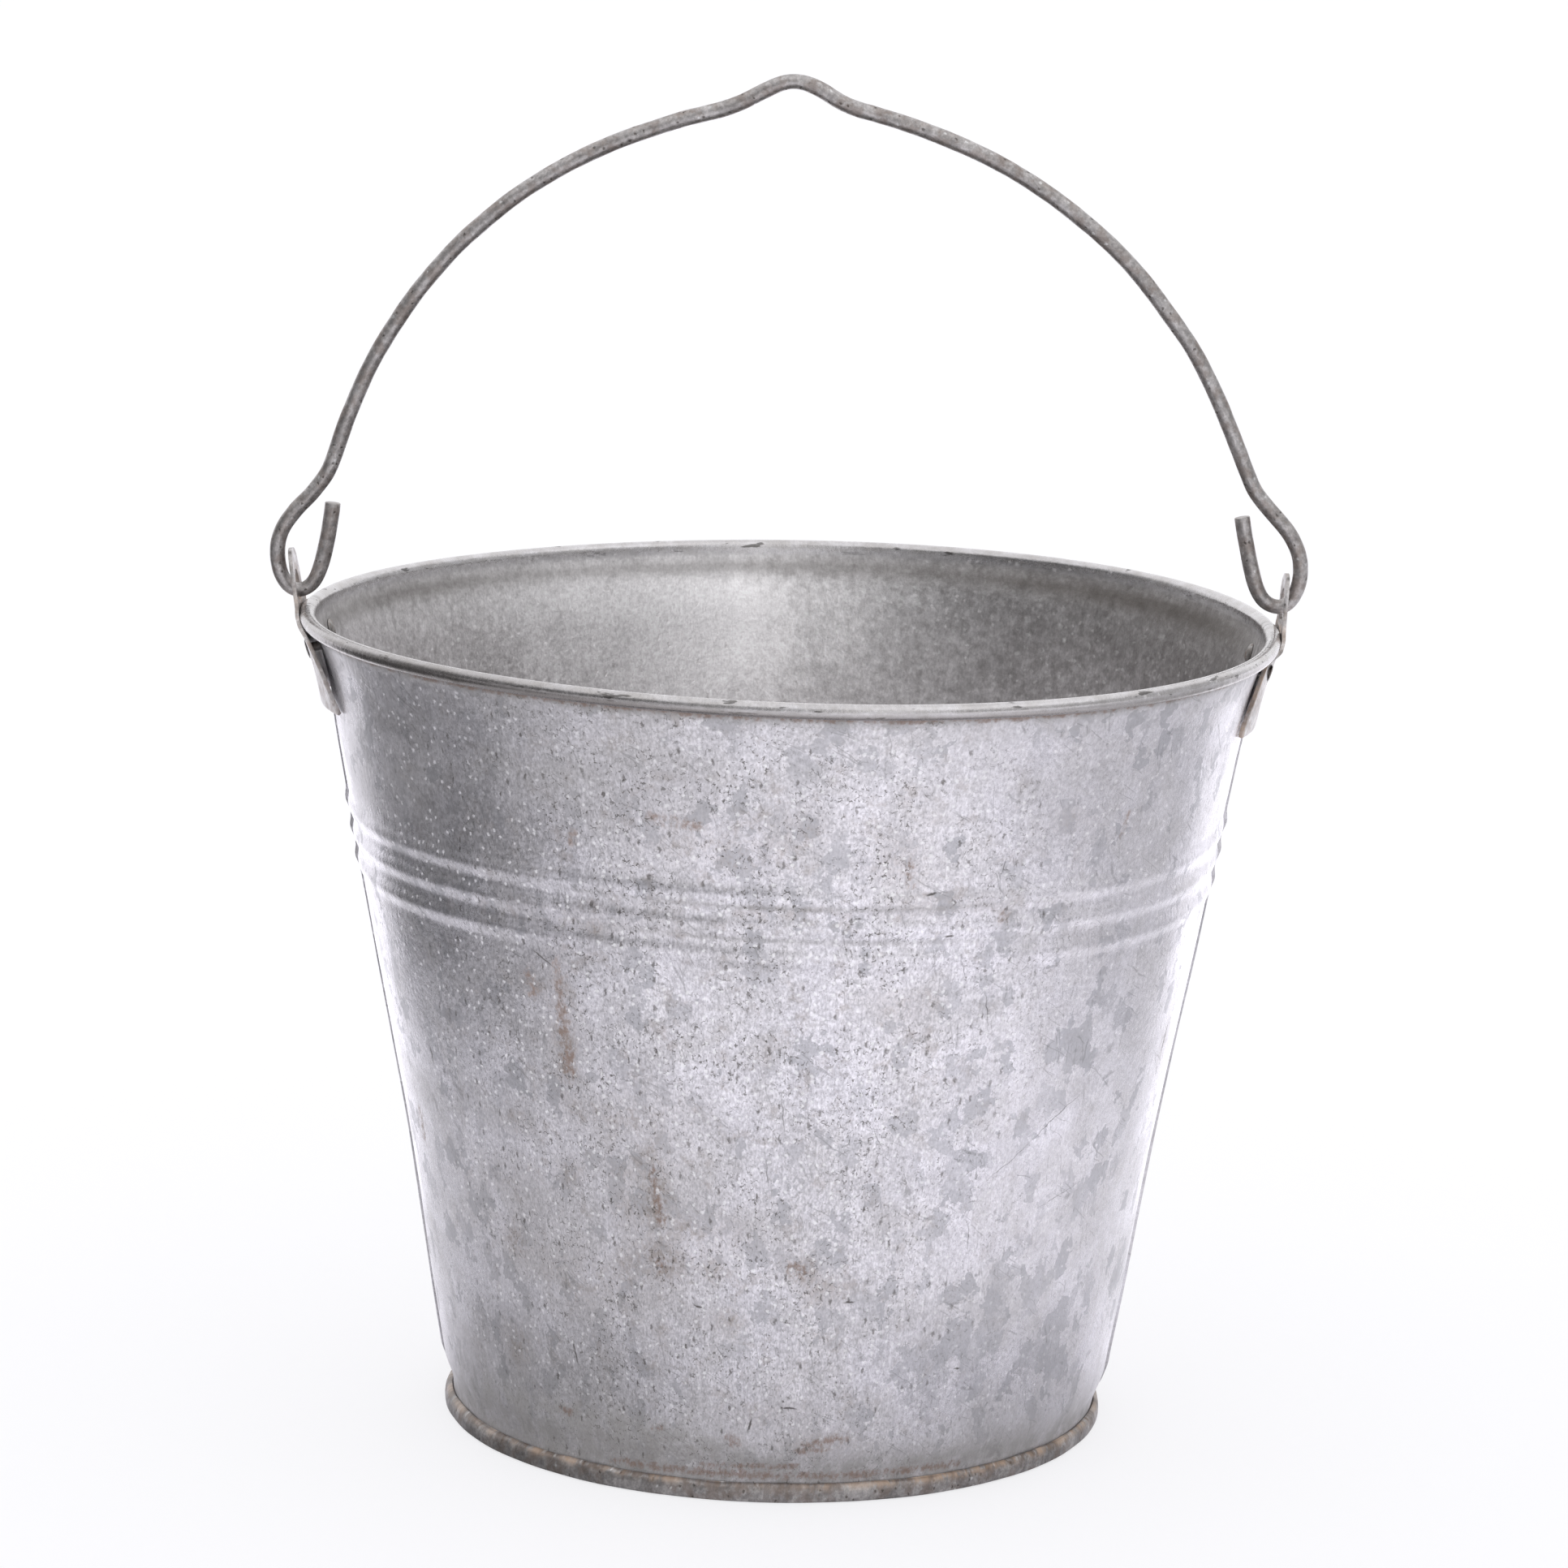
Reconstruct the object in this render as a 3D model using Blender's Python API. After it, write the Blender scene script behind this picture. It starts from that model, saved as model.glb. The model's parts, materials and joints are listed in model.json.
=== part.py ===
# Wired-rim steel pail with two riveted ears and a swinging wire bail.
# Metres, +Z up.  The origin is the centre of the foot ring's underside.
# The two ears and the two side seams are on +X and -X; the front is -Y.
# Dimensions are in millimetres and are scaled by MM as vertices are made.
import bpy
import bmesh
import math
from mathutils import Matrix, Vector

MM = 0.001
MERGE_DIST = 0.02 * MM        # joins the copies of a vertex on the spin axis

# ---------------------------------------------------------------- dimensions
SEGMENTS = 40                 # facets in a full turn of the body, foot, floor and rim wire
HALF_STEP = math.pi / SEGMENTS

SHEET = 0.5                   # body sheet thickness
GAP = 0.25                    # clearance between neighbouring sheets

# body wall, outer face
WALL_R0 = 101.0               # radius of the cone carried down to z = 0
WALL_SLOPE = 0.174            # radius gained per mm of height
WALL_ACROSS = SHEET * math.hypot(1.0, WALL_SLOPE)   # sloping sheet measured level
WALL_Z0 = 1.4                 # lower edge of the sheet
SKIRT_R = 100.8               # straight skirt held in the foot ring
SKIRT_Z = 8.2                 # top of the skirt
STEP_MID_Z, STEP_TOP_Z = 12.5, 20.0   # rounded step from skirt to cone
FLARE_Z0, FLARE_Z1, FLARE = 225.0, 248.0, 2.2
UPPER_WALL_Z = (229.0, 236.0, 242.0, 246.0)   # rows between the lock and the curl

# three swaged stiffening beads
BEAD_Z = (174.8, 184.2, 193.6)
BEAD_RISE = 0.8
BEAD_HALF, BEAD_TOP = 3.0, 1.1        # half-heights of the bead and of its flat crest

# wired rim
RIM_R = 150.0                 # outside of the curl
CURL_R = 2.3                  # outside radius of the curl's section
CURL_CENTRE_R, CURL_CENTRE_Z = RIM_R - CURL_R, 248.9
CURL_START, CURL_END = 180.0, -130.0  # degrees in the curl's section
CURL_ROWS = 9
RIM_WIRE_R, RIM_WIRE_SIDES = 1.3, 8

# lock seam
SEAM_W = 6.0                  # distance between the two folds
SEAM_TOP = 220.5              # the lock is notched out above this, for the rim

# foot ring and bottom
FOOT_R, FOOT_H = 102.7, 7.5
FOOT_WEB, FOOT_LIP, FOOT_LIP_H = 1.0, 0.8, 5.0   # web and lip thickness, lip height
SKIRT_GAP = 0.35              # clearance on either side of the skirt
FLOOR_Z, FLOOR_SHEET = 10.8, 0.6
FLOOR_STEP = 1.2              # drop from the raised centre to the margin
FLOOR_STEP_R0, FLOOR_STEP_R1 = 83.0, 86.0
FLOOR_STEP_SHIFT = 0.25       # the step's underside lies this much further in

# ears
EAR_SHEET = 1.0
EAR_COLUMNS = 10
EAR_HOLE_R, EAR_HOLE_Z, EAR_HOLE_SIDES = 5.0, 256.5, 20
EAR_TOOL_R, EAR_TOOL_LENGTH = 151.0, 12.0   # place and length of the hole's cutter
EAR_TOP_Z, EAR_LOW_Z = 267.9, 223.5
EAR_RIM_R = RIM_R + 0.35      # inner face where the ear passes the curl
EAR_LEAN_Z, EAR_LEAN = 251.0, math.radians(3.0)   # the tab leans outward above this
EAR_WRAP_Z = 244.0            # below this the flange's sides bend onto the wall
EAR_WRAP_POWER = 2.5          # keeps the bend towards the sides
EAR_WALL_GAP = 0.45

# (height, half-width) of the plate: rounded tab, neck past the rim, broad flange below it
EAR_HALF_WIDTH = [
    (EAR_TOP_Z, 2.6), (266.9, 4.9), (265.0, 6.9), (262.4, 8.1), (259.5, 8.7),
    (256.0, 9.2), (252.8, 10.8), (250.6, 12.8), (249.0, 13.6), (247.4, 14.8),
    (246.2, 22.0), (244.8, 27.5), (243.2, 29.5), (239.5, 31.8), (235.4, 33.6),
    (229.0, 35.8), (224.7, 37.0), (EAR_LOW_Z, 36.2),
]
# (height, radius) of the inner face on the ear's centre line
EAR_INNER = [
    (EAR_LEAN_Z, EAR_RIM_R), (249.0, EAR_RIM_R), (246.5, 149.6), (243.2, 147.6),
    (235.4, 144.6), (225.4, 141.7), (EAR_LOW_Z, 141.2),
]

# rivets
RIVET_Y, RIVET_Z = 15.0, 239.5
RIVET_TILT = math.radians(18.5)
RIVET_STEPS = 10
RIVET_SHANK_R = 1.6
RIVET_OUTER_SLACK, RIVET_INNER_SLACK = 0.3, 0.45   # from each head to its sheet
RIVET_HOLE_R, RIVET_HOLE_SIDES, RIVET_TOOL_LENGTH = 1.9, 12, 22.0

# bail; its heights are above the joint axis, which is parallel to X
PIVOT_Z = 255.4
BAIL_R, BAIL_SIDES = 2.6, 8   # wire radius and facets
# (x, height) of the right hook's centre line, from its tip round to the neck
HOOK = [
    (139.9, 27.2), (141.6, 17.3), (143.2, 10.6), (145.6, 3.9), (150.2, 0.0), (154.9, 4.4),
    (156.1, 10.6), (156.0, 16.6), (153.2, 23.5), (147.4, 29.8), (141.6, 36.9),
]
HOOK_PIECES = 2               # pieces between neighbouring hook points
BOW_R, BOW_CENTRE = 143.0, 8.1        # main bow: radius, and height of its centre
BOW_START, BOW_END_X = 42.0, 26.0     # height of its lower end, x of its upper end
BOW_PIECES = 13
PEAK = 158.7                  # wire centre at the peak
# (x, depth below the peak) from the bow to the peak
PEAK_SIDE = [(21.5, 8.3), (14.5, 4.4), (7.5, 1.1), (3.0, 0.15)]


# ---------------------------------------------------------------- helpers
def material(name, colour, roughness):
    """A bare metal."""
    mat = bpy.data.materials.new(name)
    mat.use_nodes = True
    inputs = mat.node_tree.nodes["Principled BSDF"].inputs
    inputs["Base Color"].default_value = (*colour, 1.0)
    inputs["Roughness"].default_value = roughness
    inputs["Metallic"].default_value = 1.0
    mat.diffuse_color = (*colour, 1.0)
    return mat


def add_object(name, data):
    ob = bpy.data.objects.new(name, data)
    bpy.context.scene.collection.objects.link(ob)
    return ob


def mesh_from(name, bm):
    mesh = bpy.data.meshes.new(name)
    bm.to_mesh(mesh)
    bm.free()
    return mesh


def add_piece(name, bm, mat, smooth_angle):
    """Smooth-shaded object, with edges sharper than smooth_angle kept sharp."""
    mesh = mesh_from(name, bm)
    mesh.materials.append(mat)
    mesh.shade_smooth()
    mesh.set_sharp_from_angle(angle=math.radians(smooth_angle))
    return add_object(name, mesh)


def add_solid(name, bm, mat, smooth_angle=35.0):
    bmesh.ops.recalc_face_normals(bm, faces=bm.faces[:])
    return add_piece(name, bm, mat, smooth_angle)


def spun(name, profile, mat, steps=SEGMENTS, closed=True, smooth_angle=35.0):
    """Spin a profile of (radius, height) points about Z."""
    bm = bmesh.new()
    start = Matrix.Rotation(math.pi / steps, 4, 'Z')
    verts = [bm.verts.new(start @ Vector((r * MM, 0.0, z * MM))) for r, z in profile]
    edges = [bm.edges.new(pair) for pair in zip(verts, verts[1:])]
    if closed:
        edges.append(bm.edges.new((verts[-1], verts[0])))
    bmesh.ops.spin(bm, geom=verts + edges, cent=(0, 0, 0), axis=(0, 0, 1),
                   angle=2 * math.pi, steps=steps, use_merge=True, use_duplicate=False)
    bmesh.ops.remove_doubles(bm, verts=bm.verts[:], dist=MERGE_DIST)
    return add_solid(name, bm, mat, smooth_angle)


def point_along(ob, direction):
    """Turn the object's Z axis to the direction."""
    ob.rotation_mode = 'QUATERNION'
    ob.rotation_quaternion = Vector(direction).to_track_quat('Z', 'Y')


def cutter(name, radius, length, centre, direction, sides):
    """Hidden cylinder for cutting a hole."""
    bm = bmesh.new()
    bmesh.ops.create_cone(bm, cap_ends=True, segments=sides, radius1=radius * MM,
                          radius2=radius * MM, depth=length * MM)
    ob = add_object(name, mesh_from(name, bm))
    ob.location = Vector(centre) * MM
    point_along(ob, direction)
    ob.hide_render = True
    ob.display_type = 'WIRE'
    return ob


def cut(ob, tool):
    hole = ob.modifiers.new("hole_" + tool.name, 'BOOLEAN')
    hole.operation = 'DIFFERENCE'
    hole.solver = 'EXACT'
    hole.object = tool


def blend(a, b, t):
    return a + (b - a) * t


def along(table, z):
    """Straight-line interpolation in a table of (z, value), z falling."""
    for (z0, value0), (z1, value1) in zip(table, table[1:]):
        if z >= z1:
            return blend(value0, value1, (z0 - z) / (z0 - z1))


# ---------------------------------------------------------------- body halves
def wall_radius(z):
    """Outer face of the plain wall, without the beads."""
    if z <= SKIRT_Z:
        return SKIRT_R
    if z < STEP_TOP_Z:
        t = (z - SKIRT_Z) / (STEP_TOP_Z - SKIRT_Z)
        return blend(SKIRT_R, WALL_R0 + WALL_SLOPE * STEP_TOP_Z, math.sin(t * math.pi / 2))
    radius = WALL_R0 + WALL_SLOPE * z
    if z > FLARE_Z0:
        radius += FLARE * ((z - FLARE_Z0) / (FLARE_Z1 - FLARE_Z0)) ** 2
    return radius


def wall_stations():
    """(height, rise above the plain wall, has the lock) from the bottom up."""
    stations = [(WALL_Z0, 0.0, False)]
    stations += [(z, 0.0, True) for z in (SKIRT_Z, STEP_MID_Z, STEP_TOP_Z)]
    for centre in BEAD_Z:
        stations += [(centre - BEAD_HALF, 0.0, True), (centre - BEAD_TOP, BEAD_RISE, True),
                     (centre + BEAD_TOP, BEAD_RISE, True), (centre + BEAD_HALF, 0.0, True)]
    stations.append((SEAM_TOP, 0.0, True))
    stations += [(z, 0.0, False) for z in UPPER_WALL_Z]
    return stations


def plan_path(outer_r, inner_r):
    """Outer and inner faces of the folded sheet at one height, as (x, y).

    Layer 0 is the wall.  The first end folds back on layer 2; the other end
    steps out to layer 3 and folds in to layer 1, so that two halves turned
    half a turn from each other lock together.
    """
    half = SHEET / 2
    fold = SEAM_W / 2
    flat = math.cos(HALF_STEP)            # middle of a facet against its corners
    inner_x = inner_r * flat
    layer = [outer_r * flat - half + i * (SHEET + GAP) for i in range(4)]
    tip = fold - half - GAP
    step = -fold - SHEET - GAP
    outer = [(layer[2] - half, tip), (layer[2] - half, half - fold),
             (layer[0] + half, half - fold)]
    inner = [(layer[2] + half, tip), (layer[2] + half, -fold - half),
             (inner_x, -fold - half)]
    for i in range(SEGMENTS // 2):
        angle = (2 * i + 1) * HALF_STEP
        outer.append((outer_r * math.cos(angle), outer_r * math.sin(angle)))
        inner.append((inner_r * math.cos(angle), inner_r * math.sin(angle)))
    # the other end, laid out at +X and turned half a turn to -X
    end_outer = [(layer[0] + half, step - half), (layer[3] + half, step - half),
                 (layer[3] + half, fold + half), (layer[1] - half, fold + half),
                 (layer[1] - half, -tip)]
    end_inner = [(inner_x, step + half), (layer[3] - half, step + half),
                 (layer[3] - half, fold - half), (layer[1] + half, fold - half),
                 (layer[1] + half, -tip)]
    outer += [(-x, -y) for x, y in end_outer]
    inner += [(-x, -y) for x, y in end_inner]
    return outer, inner


def at_height(path, z):
    return [Vector((x, y, z)) * MM for x, y in path]


def body_rows():
    """(outer points, inner points, has the lock) up the wall and round the curl."""
    rows = []
    for z, rise, lock in wall_stations():
        radius = wall_radius(z) + rise
        outer, inner = plan_path(radius, radius - WALL_ACROSS)
        rows.append((at_height(outer, z), at_height(inner, z), lock))
    # the sheet goes over the rim wire, out and down; its outer face meets the wire
    wire_side = CURL_R - SHEET
    for i in range(CURL_ROWS):
        angle = math.radians(blend(CURL_START, CURL_END, i / (CURL_ROWS - 1)))
        across, up = math.cos(angle), math.sin(angle)
        outer_r = CURL_CENTRE_R + wire_side * across
        inner_r = CURL_CENTRE_R + CURL_R * across
        outer, _ = plan_path(outer_r, outer_r - SHEET)
        _, inner = plan_path(inner_r + SHEET, inner_r)
        rows.append((at_height(outer, CURL_CENTRE_Z + wire_side * up),
                     at_height(inner, CURL_CENTRE_Z + CURL_R * up), False))
    return rows


def body_half_bmesh():
    """The +Y half of the body."""
    bm = bmesh.new()
    first, last = 2, 3 + SEGMENTS // 2           # part of the path that has no lock
    end = last + 4                               # last point of the whole path
    rows = []
    for outer, inner, lock in body_rows():
        used = range(end + 1) if lock else range(first, last + 1)
        rows.append(({i: bm.verts.new(outer[i]) for i in used},
                     {i: bm.verts.new(inner[i]) for i in used}, lock))

    def close_edge(row, start, stop):
        """Close the sheet's edge at one height."""
        outer, inner, _ = row
        for i in range(start, stop):
            bm.faces.new((outer[i], outer[i + 1], inner[i + 1], inner[i]))

    for low, high in zip(rows, rows[1:]):
        low_outer, low_inner, low_lock = low
        high_outer, high_inner, high_lock = high
        start, stop = (0, end) if low_lock and high_lock else (first, last)
        for i in range(start, stop):
            bm.faces.new((low_outer[i], high_outer[i], high_outer[i + 1], low_outer[i + 1]))
            bm.faces.new((low_inner[i], low_inner[i + 1], high_inner[i + 1], high_inner[i]))
        for i in (start, stop):
            bm.faces.new((low_outer[i], low_inner[i], high_inner[i], high_outer[i]))
        if low_lock != high_lock:                # upper or lower end of the lock
            lock_row = low if low_lock else high
            close_edge(lock_row, 0, first)
            close_edge(lock_row, last, end)
    close_edge(rows[0], first, last)
    close_edge(rows[-1], first, last)
    return bm


def add_body(mat):
    """Two equal halves, half a turn apart."""
    back = add_solid("body_back", body_half_bmesh(), mat)
    front = add_object("body_front", back.data.copy())
    front.rotation_euler = (0.0, 0.0, math.pi)
    return back, front


# ---------------------------------------------------------------- rim wire, foot, bottom
def rim_wire_profile():
    angles = [2 * math.pi * i / RIM_WIRE_SIDES for i in range(RIM_WIRE_SIDES)]
    return [(CURL_CENTRE_R + RIM_WIRE_R * math.cos(angle),
             CURL_CENTRE_Z + RIM_WIRE_R * math.sin(angle)) for angle in angles]


def foot_profile():
    """Outer band, web under the skirt and inner lip."""
    band_in = SKIRT_R + SKIRT_GAP
    lip_out = SKIRT_R - SHEET - SKIRT_GAP - FLOOR_SHEET - GAP
    lip_in = lip_out - FOOT_LIP
    return [(FOOT_R - 0.6, 0.0), (FOOT_R, 1.6), (FOOT_R, 5.2), (FOOT_R - 0.4, 7.1),
            (FOOT_R - 0.7, FOOT_H), (band_in, FOOT_H), (band_in, FOOT_WEB),
            (lip_out, FOOT_WEB), (lip_out, FOOT_LIP_H), (lip_in, FOOT_LIP_H), (lip_in, 0.0)]


def floor_profile():
    """Disc with a raised centre and a turned-down flange, open line from axis to axis."""
    flange_out = SKIRT_R - WALL_ACROSS - SKIRT_GAP
    flange_in = flange_out - FLOOR_SHEET
    margin = FLOOR_Z - FLOOR_STEP
    upper = [(0.0, FLOOR_Z), (FLOOR_STEP_R0, FLOOR_Z), (FLOOR_STEP_R1, margin),
             (flange_out - 1.2, margin), (flange_out - 0.35, margin - 0.35),
             (flange_out, margin - 1.2), (flange_out, WALL_Z0)]
    lower = [(flange_in, WALL_Z0), (flange_in, margin - 1.35),
             (flange_in - 0.35, margin - FLOOR_SHEET),
             (FLOOR_STEP_R1 - FLOOR_STEP_SHIFT, margin - FLOOR_SHEET),
             (FLOOR_STEP_R0 - FLOOR_STEP_SHIFT, FLOOR_Z - FLOOR_SHEET),
             (0.0, FLOOR_Z - FLOOR_SHEET)]
    return upper + lower


# ---------------------------------------------------------------- ears
def ear_inner_radius(z, across):
    """Inner face; across runs from -1 to 1 over the plate's width."""
    if z >= EAR_LEAN_Z:
        return EAR_RIM_R + (z - EAR_LEAN_Z) * math.tan(EAR_LEAN)
    middle = along(EAR_INNER, z)
    edge = wall_radius(z) + EAR_WALL_GAP
    wrap = max(0.0, (EAR_WRAP_Z - z) / (EAR_WRAP_Z - EAR_LOW_Z))
    return blend(middle, edge, wrap * abs(across) ** EAR_WRAP_POWER)


def add_ear(name, side, mat):
    """Inner face as a grid, thickened outward; side is 1 for +X, -1 for -X."""
    bm = bmesh.new()
    grid = []
    for z, half_width in EAR_HALF_WIDTH:
        row = []
        for i in range(EAR_COLUMNS + 1):
            across = -1.0 + 2.0 * i / EAR_COLUMNS
            y = across * half_width
            radius = ear_inner_radius(z, across)
            x = math.sqrt(radius * radius - y * y)
            row.append(bm.verts.new(Vector((side * x, side * y, z)) * MM))
        grid.append(row)
    for high, low in zip(grid, grid[1:]):
        for i in range(EAR_COLUMNS):
            bm.faces.new((high[i], low[i], low[i + 1], high[i + 1]))
    ob = add_piece(name, bm, mat, smooth_angle=40.0)
    plate = ob.modifiers.new("plate", 'SOLIDIFY')
    plate.thickness = EAR_SHEET * MM
    plate.offset = 1.0
    plate.use_even_offset = True
    cut(ob, cutter("hole_tool_" + name, EAR_HOLE_R, EAR_TOOL_LENGTH,
                   centre=(side * EAR_TOOL_R, 0.0, EAR_HOLE_Z), direction=(1, 0, 0),
                   sides=EAR_HOLE_SIDES))
    return ob


# ---------------------------------------------------------------- rivets
def rivet_profile(grip_in, grip_out):
    """Open line from axis to axis; heights are along the rivet, outward."""
    return [(0.0, grip_out + 1.3), (1.7, grip_out + 1.1), (2.8, grip_out + 0.6),
            (3.2, grip_out), (RIVET_SHANK_R, grip_out), (RIVET_SHANK_R, grip_in),
            (3.0, grip_in), (2.6, grip_in - 0.5), (1.5, grip_in - 0.9), (0.0, grip_in - 1.0)]


def add_rivet(name, x_side, y_side, mat, ear, body_half):
    """Rivet square to the flange, outward and slightly down, with its two holes."""
    ear_r = ear_inner_radius(RIVET_Z, RIVET_Y / along(EAR_HALF_WIDTH, RIVET_Z))
    azimuth = math.asin(RIVET_Y / ear_r)
    out_x, out_y = x_side * math.cos(azimuth), y_side * math.sin(azimuth)
    level = math.cos(RIVET_TILT)
    direction = Vector((out_x * level, out_y * level, -math.sin(RIVET_TILT)))
    centre = Vector((out_x * ear_r, out_y * ear_r, RIVET_Z))
    reach = (ear_r - wall_radius(RIVET_Z)) * level + SHEET
    profile = rivet_profile(-reach - RIVET_INNER_SLACK, EAR_SHEET + RIVET_OUTER_SLACK)
    ob = spun(name, profile, mat, steps=RIVET_STEPS, closed=False)
    point_along(ob, direction)
    ob.location = centre * MM
    tool = cutter("hole_tool_" + name, RIVET_HOLE_R, RIVET_TOOL_LENGTH, centre, direction,
                  sides=RIVET_HOLE_SIDES)
    cut(ear, tool)
    cut(body_half, tool)


# ---------------------------------------------------------------- bail
def smooth_line(points, pieces):
    """Catmull-Rom through the points, with `pieces` pieces between neighbours."""
    def beyond(end, inward):
        return tuple(2 * a - b for a, b in zip(end, inward))

    line = []
    extended = [beyond(points[0], points[1]), *points, beyond(points[-1], points[-2])]
    for four in zip(extended, extended[1:], extended[2:], extended[3:]):
        for i in range(pieces):
            t = i / pieces
            line.append(tuple(
                0.5 * (2 * b + (c - a) * t + (2 * a - 5 * b + 4 * c - d) * t * t
                       + (3 * b - a - 3 * c + d) * t ** 3)
                for a, b, c, d in zip(*four)))
    line.append(points[-1])
    return line


def bail_line():
    """Centre line as (x, height above the joint), from the +X tip to the -X tip."""
    start = math.asin((BOW_START - BOW_CENTRE) / BOW_R)
    stop = math.acos(BOW_END_X / BOW_R)
    angles = [blend(start, stop, i / BOW_PIECES) for i in range(BOW_PIECES + 1)]
    bow = [(BOW_R * math.cos(angle), BOW_CENTRE + BOW_R * math.sin(angle))
           for angle in angles]
    right = smooth_line(HOOK, HOOK_PIECES) + bow + [(x, PEAK - drop) for x, drop in PEAK_SIDE]
    return right + [(0.0, PEAK)] + [(-x, z) for x, z in reversed(right)]


def add_bail_wire(mat):
    line = bail_line()
    bm = bmesh.new()
    rings = []
    for i, (x, z) in enumerate(line):
        before_x, before_z = line[max(i - 1, 0)]
        after_x, after_z = line[min(i + 1, len(line) - 1)]
        tangent = Vector((after_x - before_x, 0.0, after_z - before_z)).normalized()
        normal = Vector((tangent.z, 0.0, -tangent.x))
        ring = []
        for side in range(BAIL_SIDES):
            angle = 2 * math.pi * (side + 0.5) / BAIL_SIDES
            spoke = normal * math.cos(angle) + Vector((0, 1, 0)) * math.sin(angle)
            ring.append(bm.verts.new((Vector((x, 0.0, z)) + spoke * BAIL_R) * MM))
        rings.append(ring)
    for ring, following in zip(rings, rings[1:]):
        for i in range(BAIL_SIDES):
            j = (i + 1) % BAIL_SIDES
            bm.faces.new((ring[i], ring[j], following[j], following[i]))
    bm.faces.new(rings[0])
    bm.faces.new(list(reversed(rings[-1])))
    return add_solid("bail_wire", bm, mat, smooth_angle=50.0)


def add_bail(mat):
    """The wire's parent is an empty on the joint axis."""
    axis = add_object("bail_axis", None)
    axis.location = (0.0, 0.0, PIVOT_Z * MM)
    add_bail_wire(mat).parent = axis


# ---------------------------------------------------------------- build
for old in list(bpy.data.objects):
    bpy.data.objects.remove(old, do_unlink=True)

steel_body = material("galvanised_body", colour=(0.60, 0.60, 0.62), roughness=0.42)
steel_foot = material("galvanised_foot", colour=(0.50, 0.48, 0.47), roughness=0.50)
steel_floor = material("galvanised_floor", colour=(0.52, 0.52, 0.53), roughness=0.50)
steel_ear = material("galvanised_ear", colour=(0.55, 0.53, 0.53), roughness=0.45)
steel_rivet = material("rivet_steel", colour=(0.42, 0.40, 0.39), roughness=0.48)
steel_bail = material("bail_steel", colour=(0.36, 0.34, 0.33), roughness=0.45)
steel_rim_wire = material("rim_wire_steel", colour=(0.45, 0.44, 0.43), roughness=0.50)

body_back, body_front = add_body(steel_body)
spun("rim_wire", rim_wire_profile(), steel_rim_wire, smooth_angle=60.0)
spun("foot_ring", foot_profile(), steel_foot)
spun("bottom_disc", floor_profile(), steel_floor, closed=False)
for x_name, x_side in (("right", 1), ("left", -1)):
    ear = add_ear("ear_" + x_name, x_side, steel_ear)
    for y_name, y_side, body_half in (("front", -1, body_front), ("back", 1, body_back)):
        add_rivet(f"rivet_{x_name}_{y_name}", x_side, y_side, steel_rivet, ear, body_half)
add_bail(steel_bail)
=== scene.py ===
# Galvanised pail with a wire bail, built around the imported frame.
# The scene is in metres, +Z up, origin at the centre of the foot ring's underside.
# -Y is the front, towards the camera, and +X is the right.  Shapes are worked out in
# millimetres; phi is the angle about the axis, 0 at the front and growing towards +X.
import bpy
import bmesh
import json
import math
import numpy as np
from mathutils import Matrix, Vector

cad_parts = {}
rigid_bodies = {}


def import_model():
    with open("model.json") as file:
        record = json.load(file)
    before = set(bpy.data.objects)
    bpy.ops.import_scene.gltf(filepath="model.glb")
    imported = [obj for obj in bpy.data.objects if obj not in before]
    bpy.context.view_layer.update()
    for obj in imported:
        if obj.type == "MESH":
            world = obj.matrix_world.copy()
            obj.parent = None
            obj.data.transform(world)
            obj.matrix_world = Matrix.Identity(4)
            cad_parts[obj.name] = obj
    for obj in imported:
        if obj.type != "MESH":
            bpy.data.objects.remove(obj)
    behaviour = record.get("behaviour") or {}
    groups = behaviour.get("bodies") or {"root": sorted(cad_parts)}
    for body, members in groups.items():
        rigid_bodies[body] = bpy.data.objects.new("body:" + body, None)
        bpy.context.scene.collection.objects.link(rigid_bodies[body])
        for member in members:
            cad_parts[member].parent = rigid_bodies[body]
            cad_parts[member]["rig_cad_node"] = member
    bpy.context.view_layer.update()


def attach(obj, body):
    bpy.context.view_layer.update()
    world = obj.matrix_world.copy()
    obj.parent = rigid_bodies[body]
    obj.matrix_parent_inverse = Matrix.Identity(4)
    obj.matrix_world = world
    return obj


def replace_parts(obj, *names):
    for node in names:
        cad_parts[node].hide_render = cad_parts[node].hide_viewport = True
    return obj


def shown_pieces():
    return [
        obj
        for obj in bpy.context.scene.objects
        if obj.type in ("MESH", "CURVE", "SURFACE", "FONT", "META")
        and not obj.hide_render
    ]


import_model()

MM = 0.001
PI = math.pi

# =====================================================================
# driving sizes, mm
# =====================================================================
SHEET = 0.6              # thickness of the wall
WALL_R = 101.0           # outer radius of the cone at z = 0
WALL_SLOPE = 0.174       # growth of the radius per mm of height
WAIST = 1.0              # slight hollow at mid height
WAIST_Z, WAIST_H = 95, 48.0
FOOT_R = 100.55          # straight part inside the foot ring
FOOT_Z, FOOT_H = 4.5, 13.0
FLARE = 2.2              # widening under the rim
FLARE_Z, FLARE_H = 225.0, 23.0
BEADS = (172.9, 182.0, 190.9)
BEAD_RISE, BEAD_HALF = 0.78, 4.3

RIM_Z = 248.9            # centre of the rim curl
RIM_R = 150.0
CURL_R = 2.3
CURL_C = RIM_R - CURL_R  # radius at the centre of the curl
CURL_STEPS = 40
RIM_WIRE_R = 1.3

SEAM_RISE = 1.1          # height of the lock seams at phi = -90 and 90
SEAM_NOSE = 0.75         # drop of the rolled edge
SEAM_FLAT = 2.8          # where the roll begins, past the seam line

UNROLL_R = 125.0         # radius at which the wall is unrolled for marks and UVs
UNROLL = UNROLL_R * MM   # metres of sheet per radian

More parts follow.
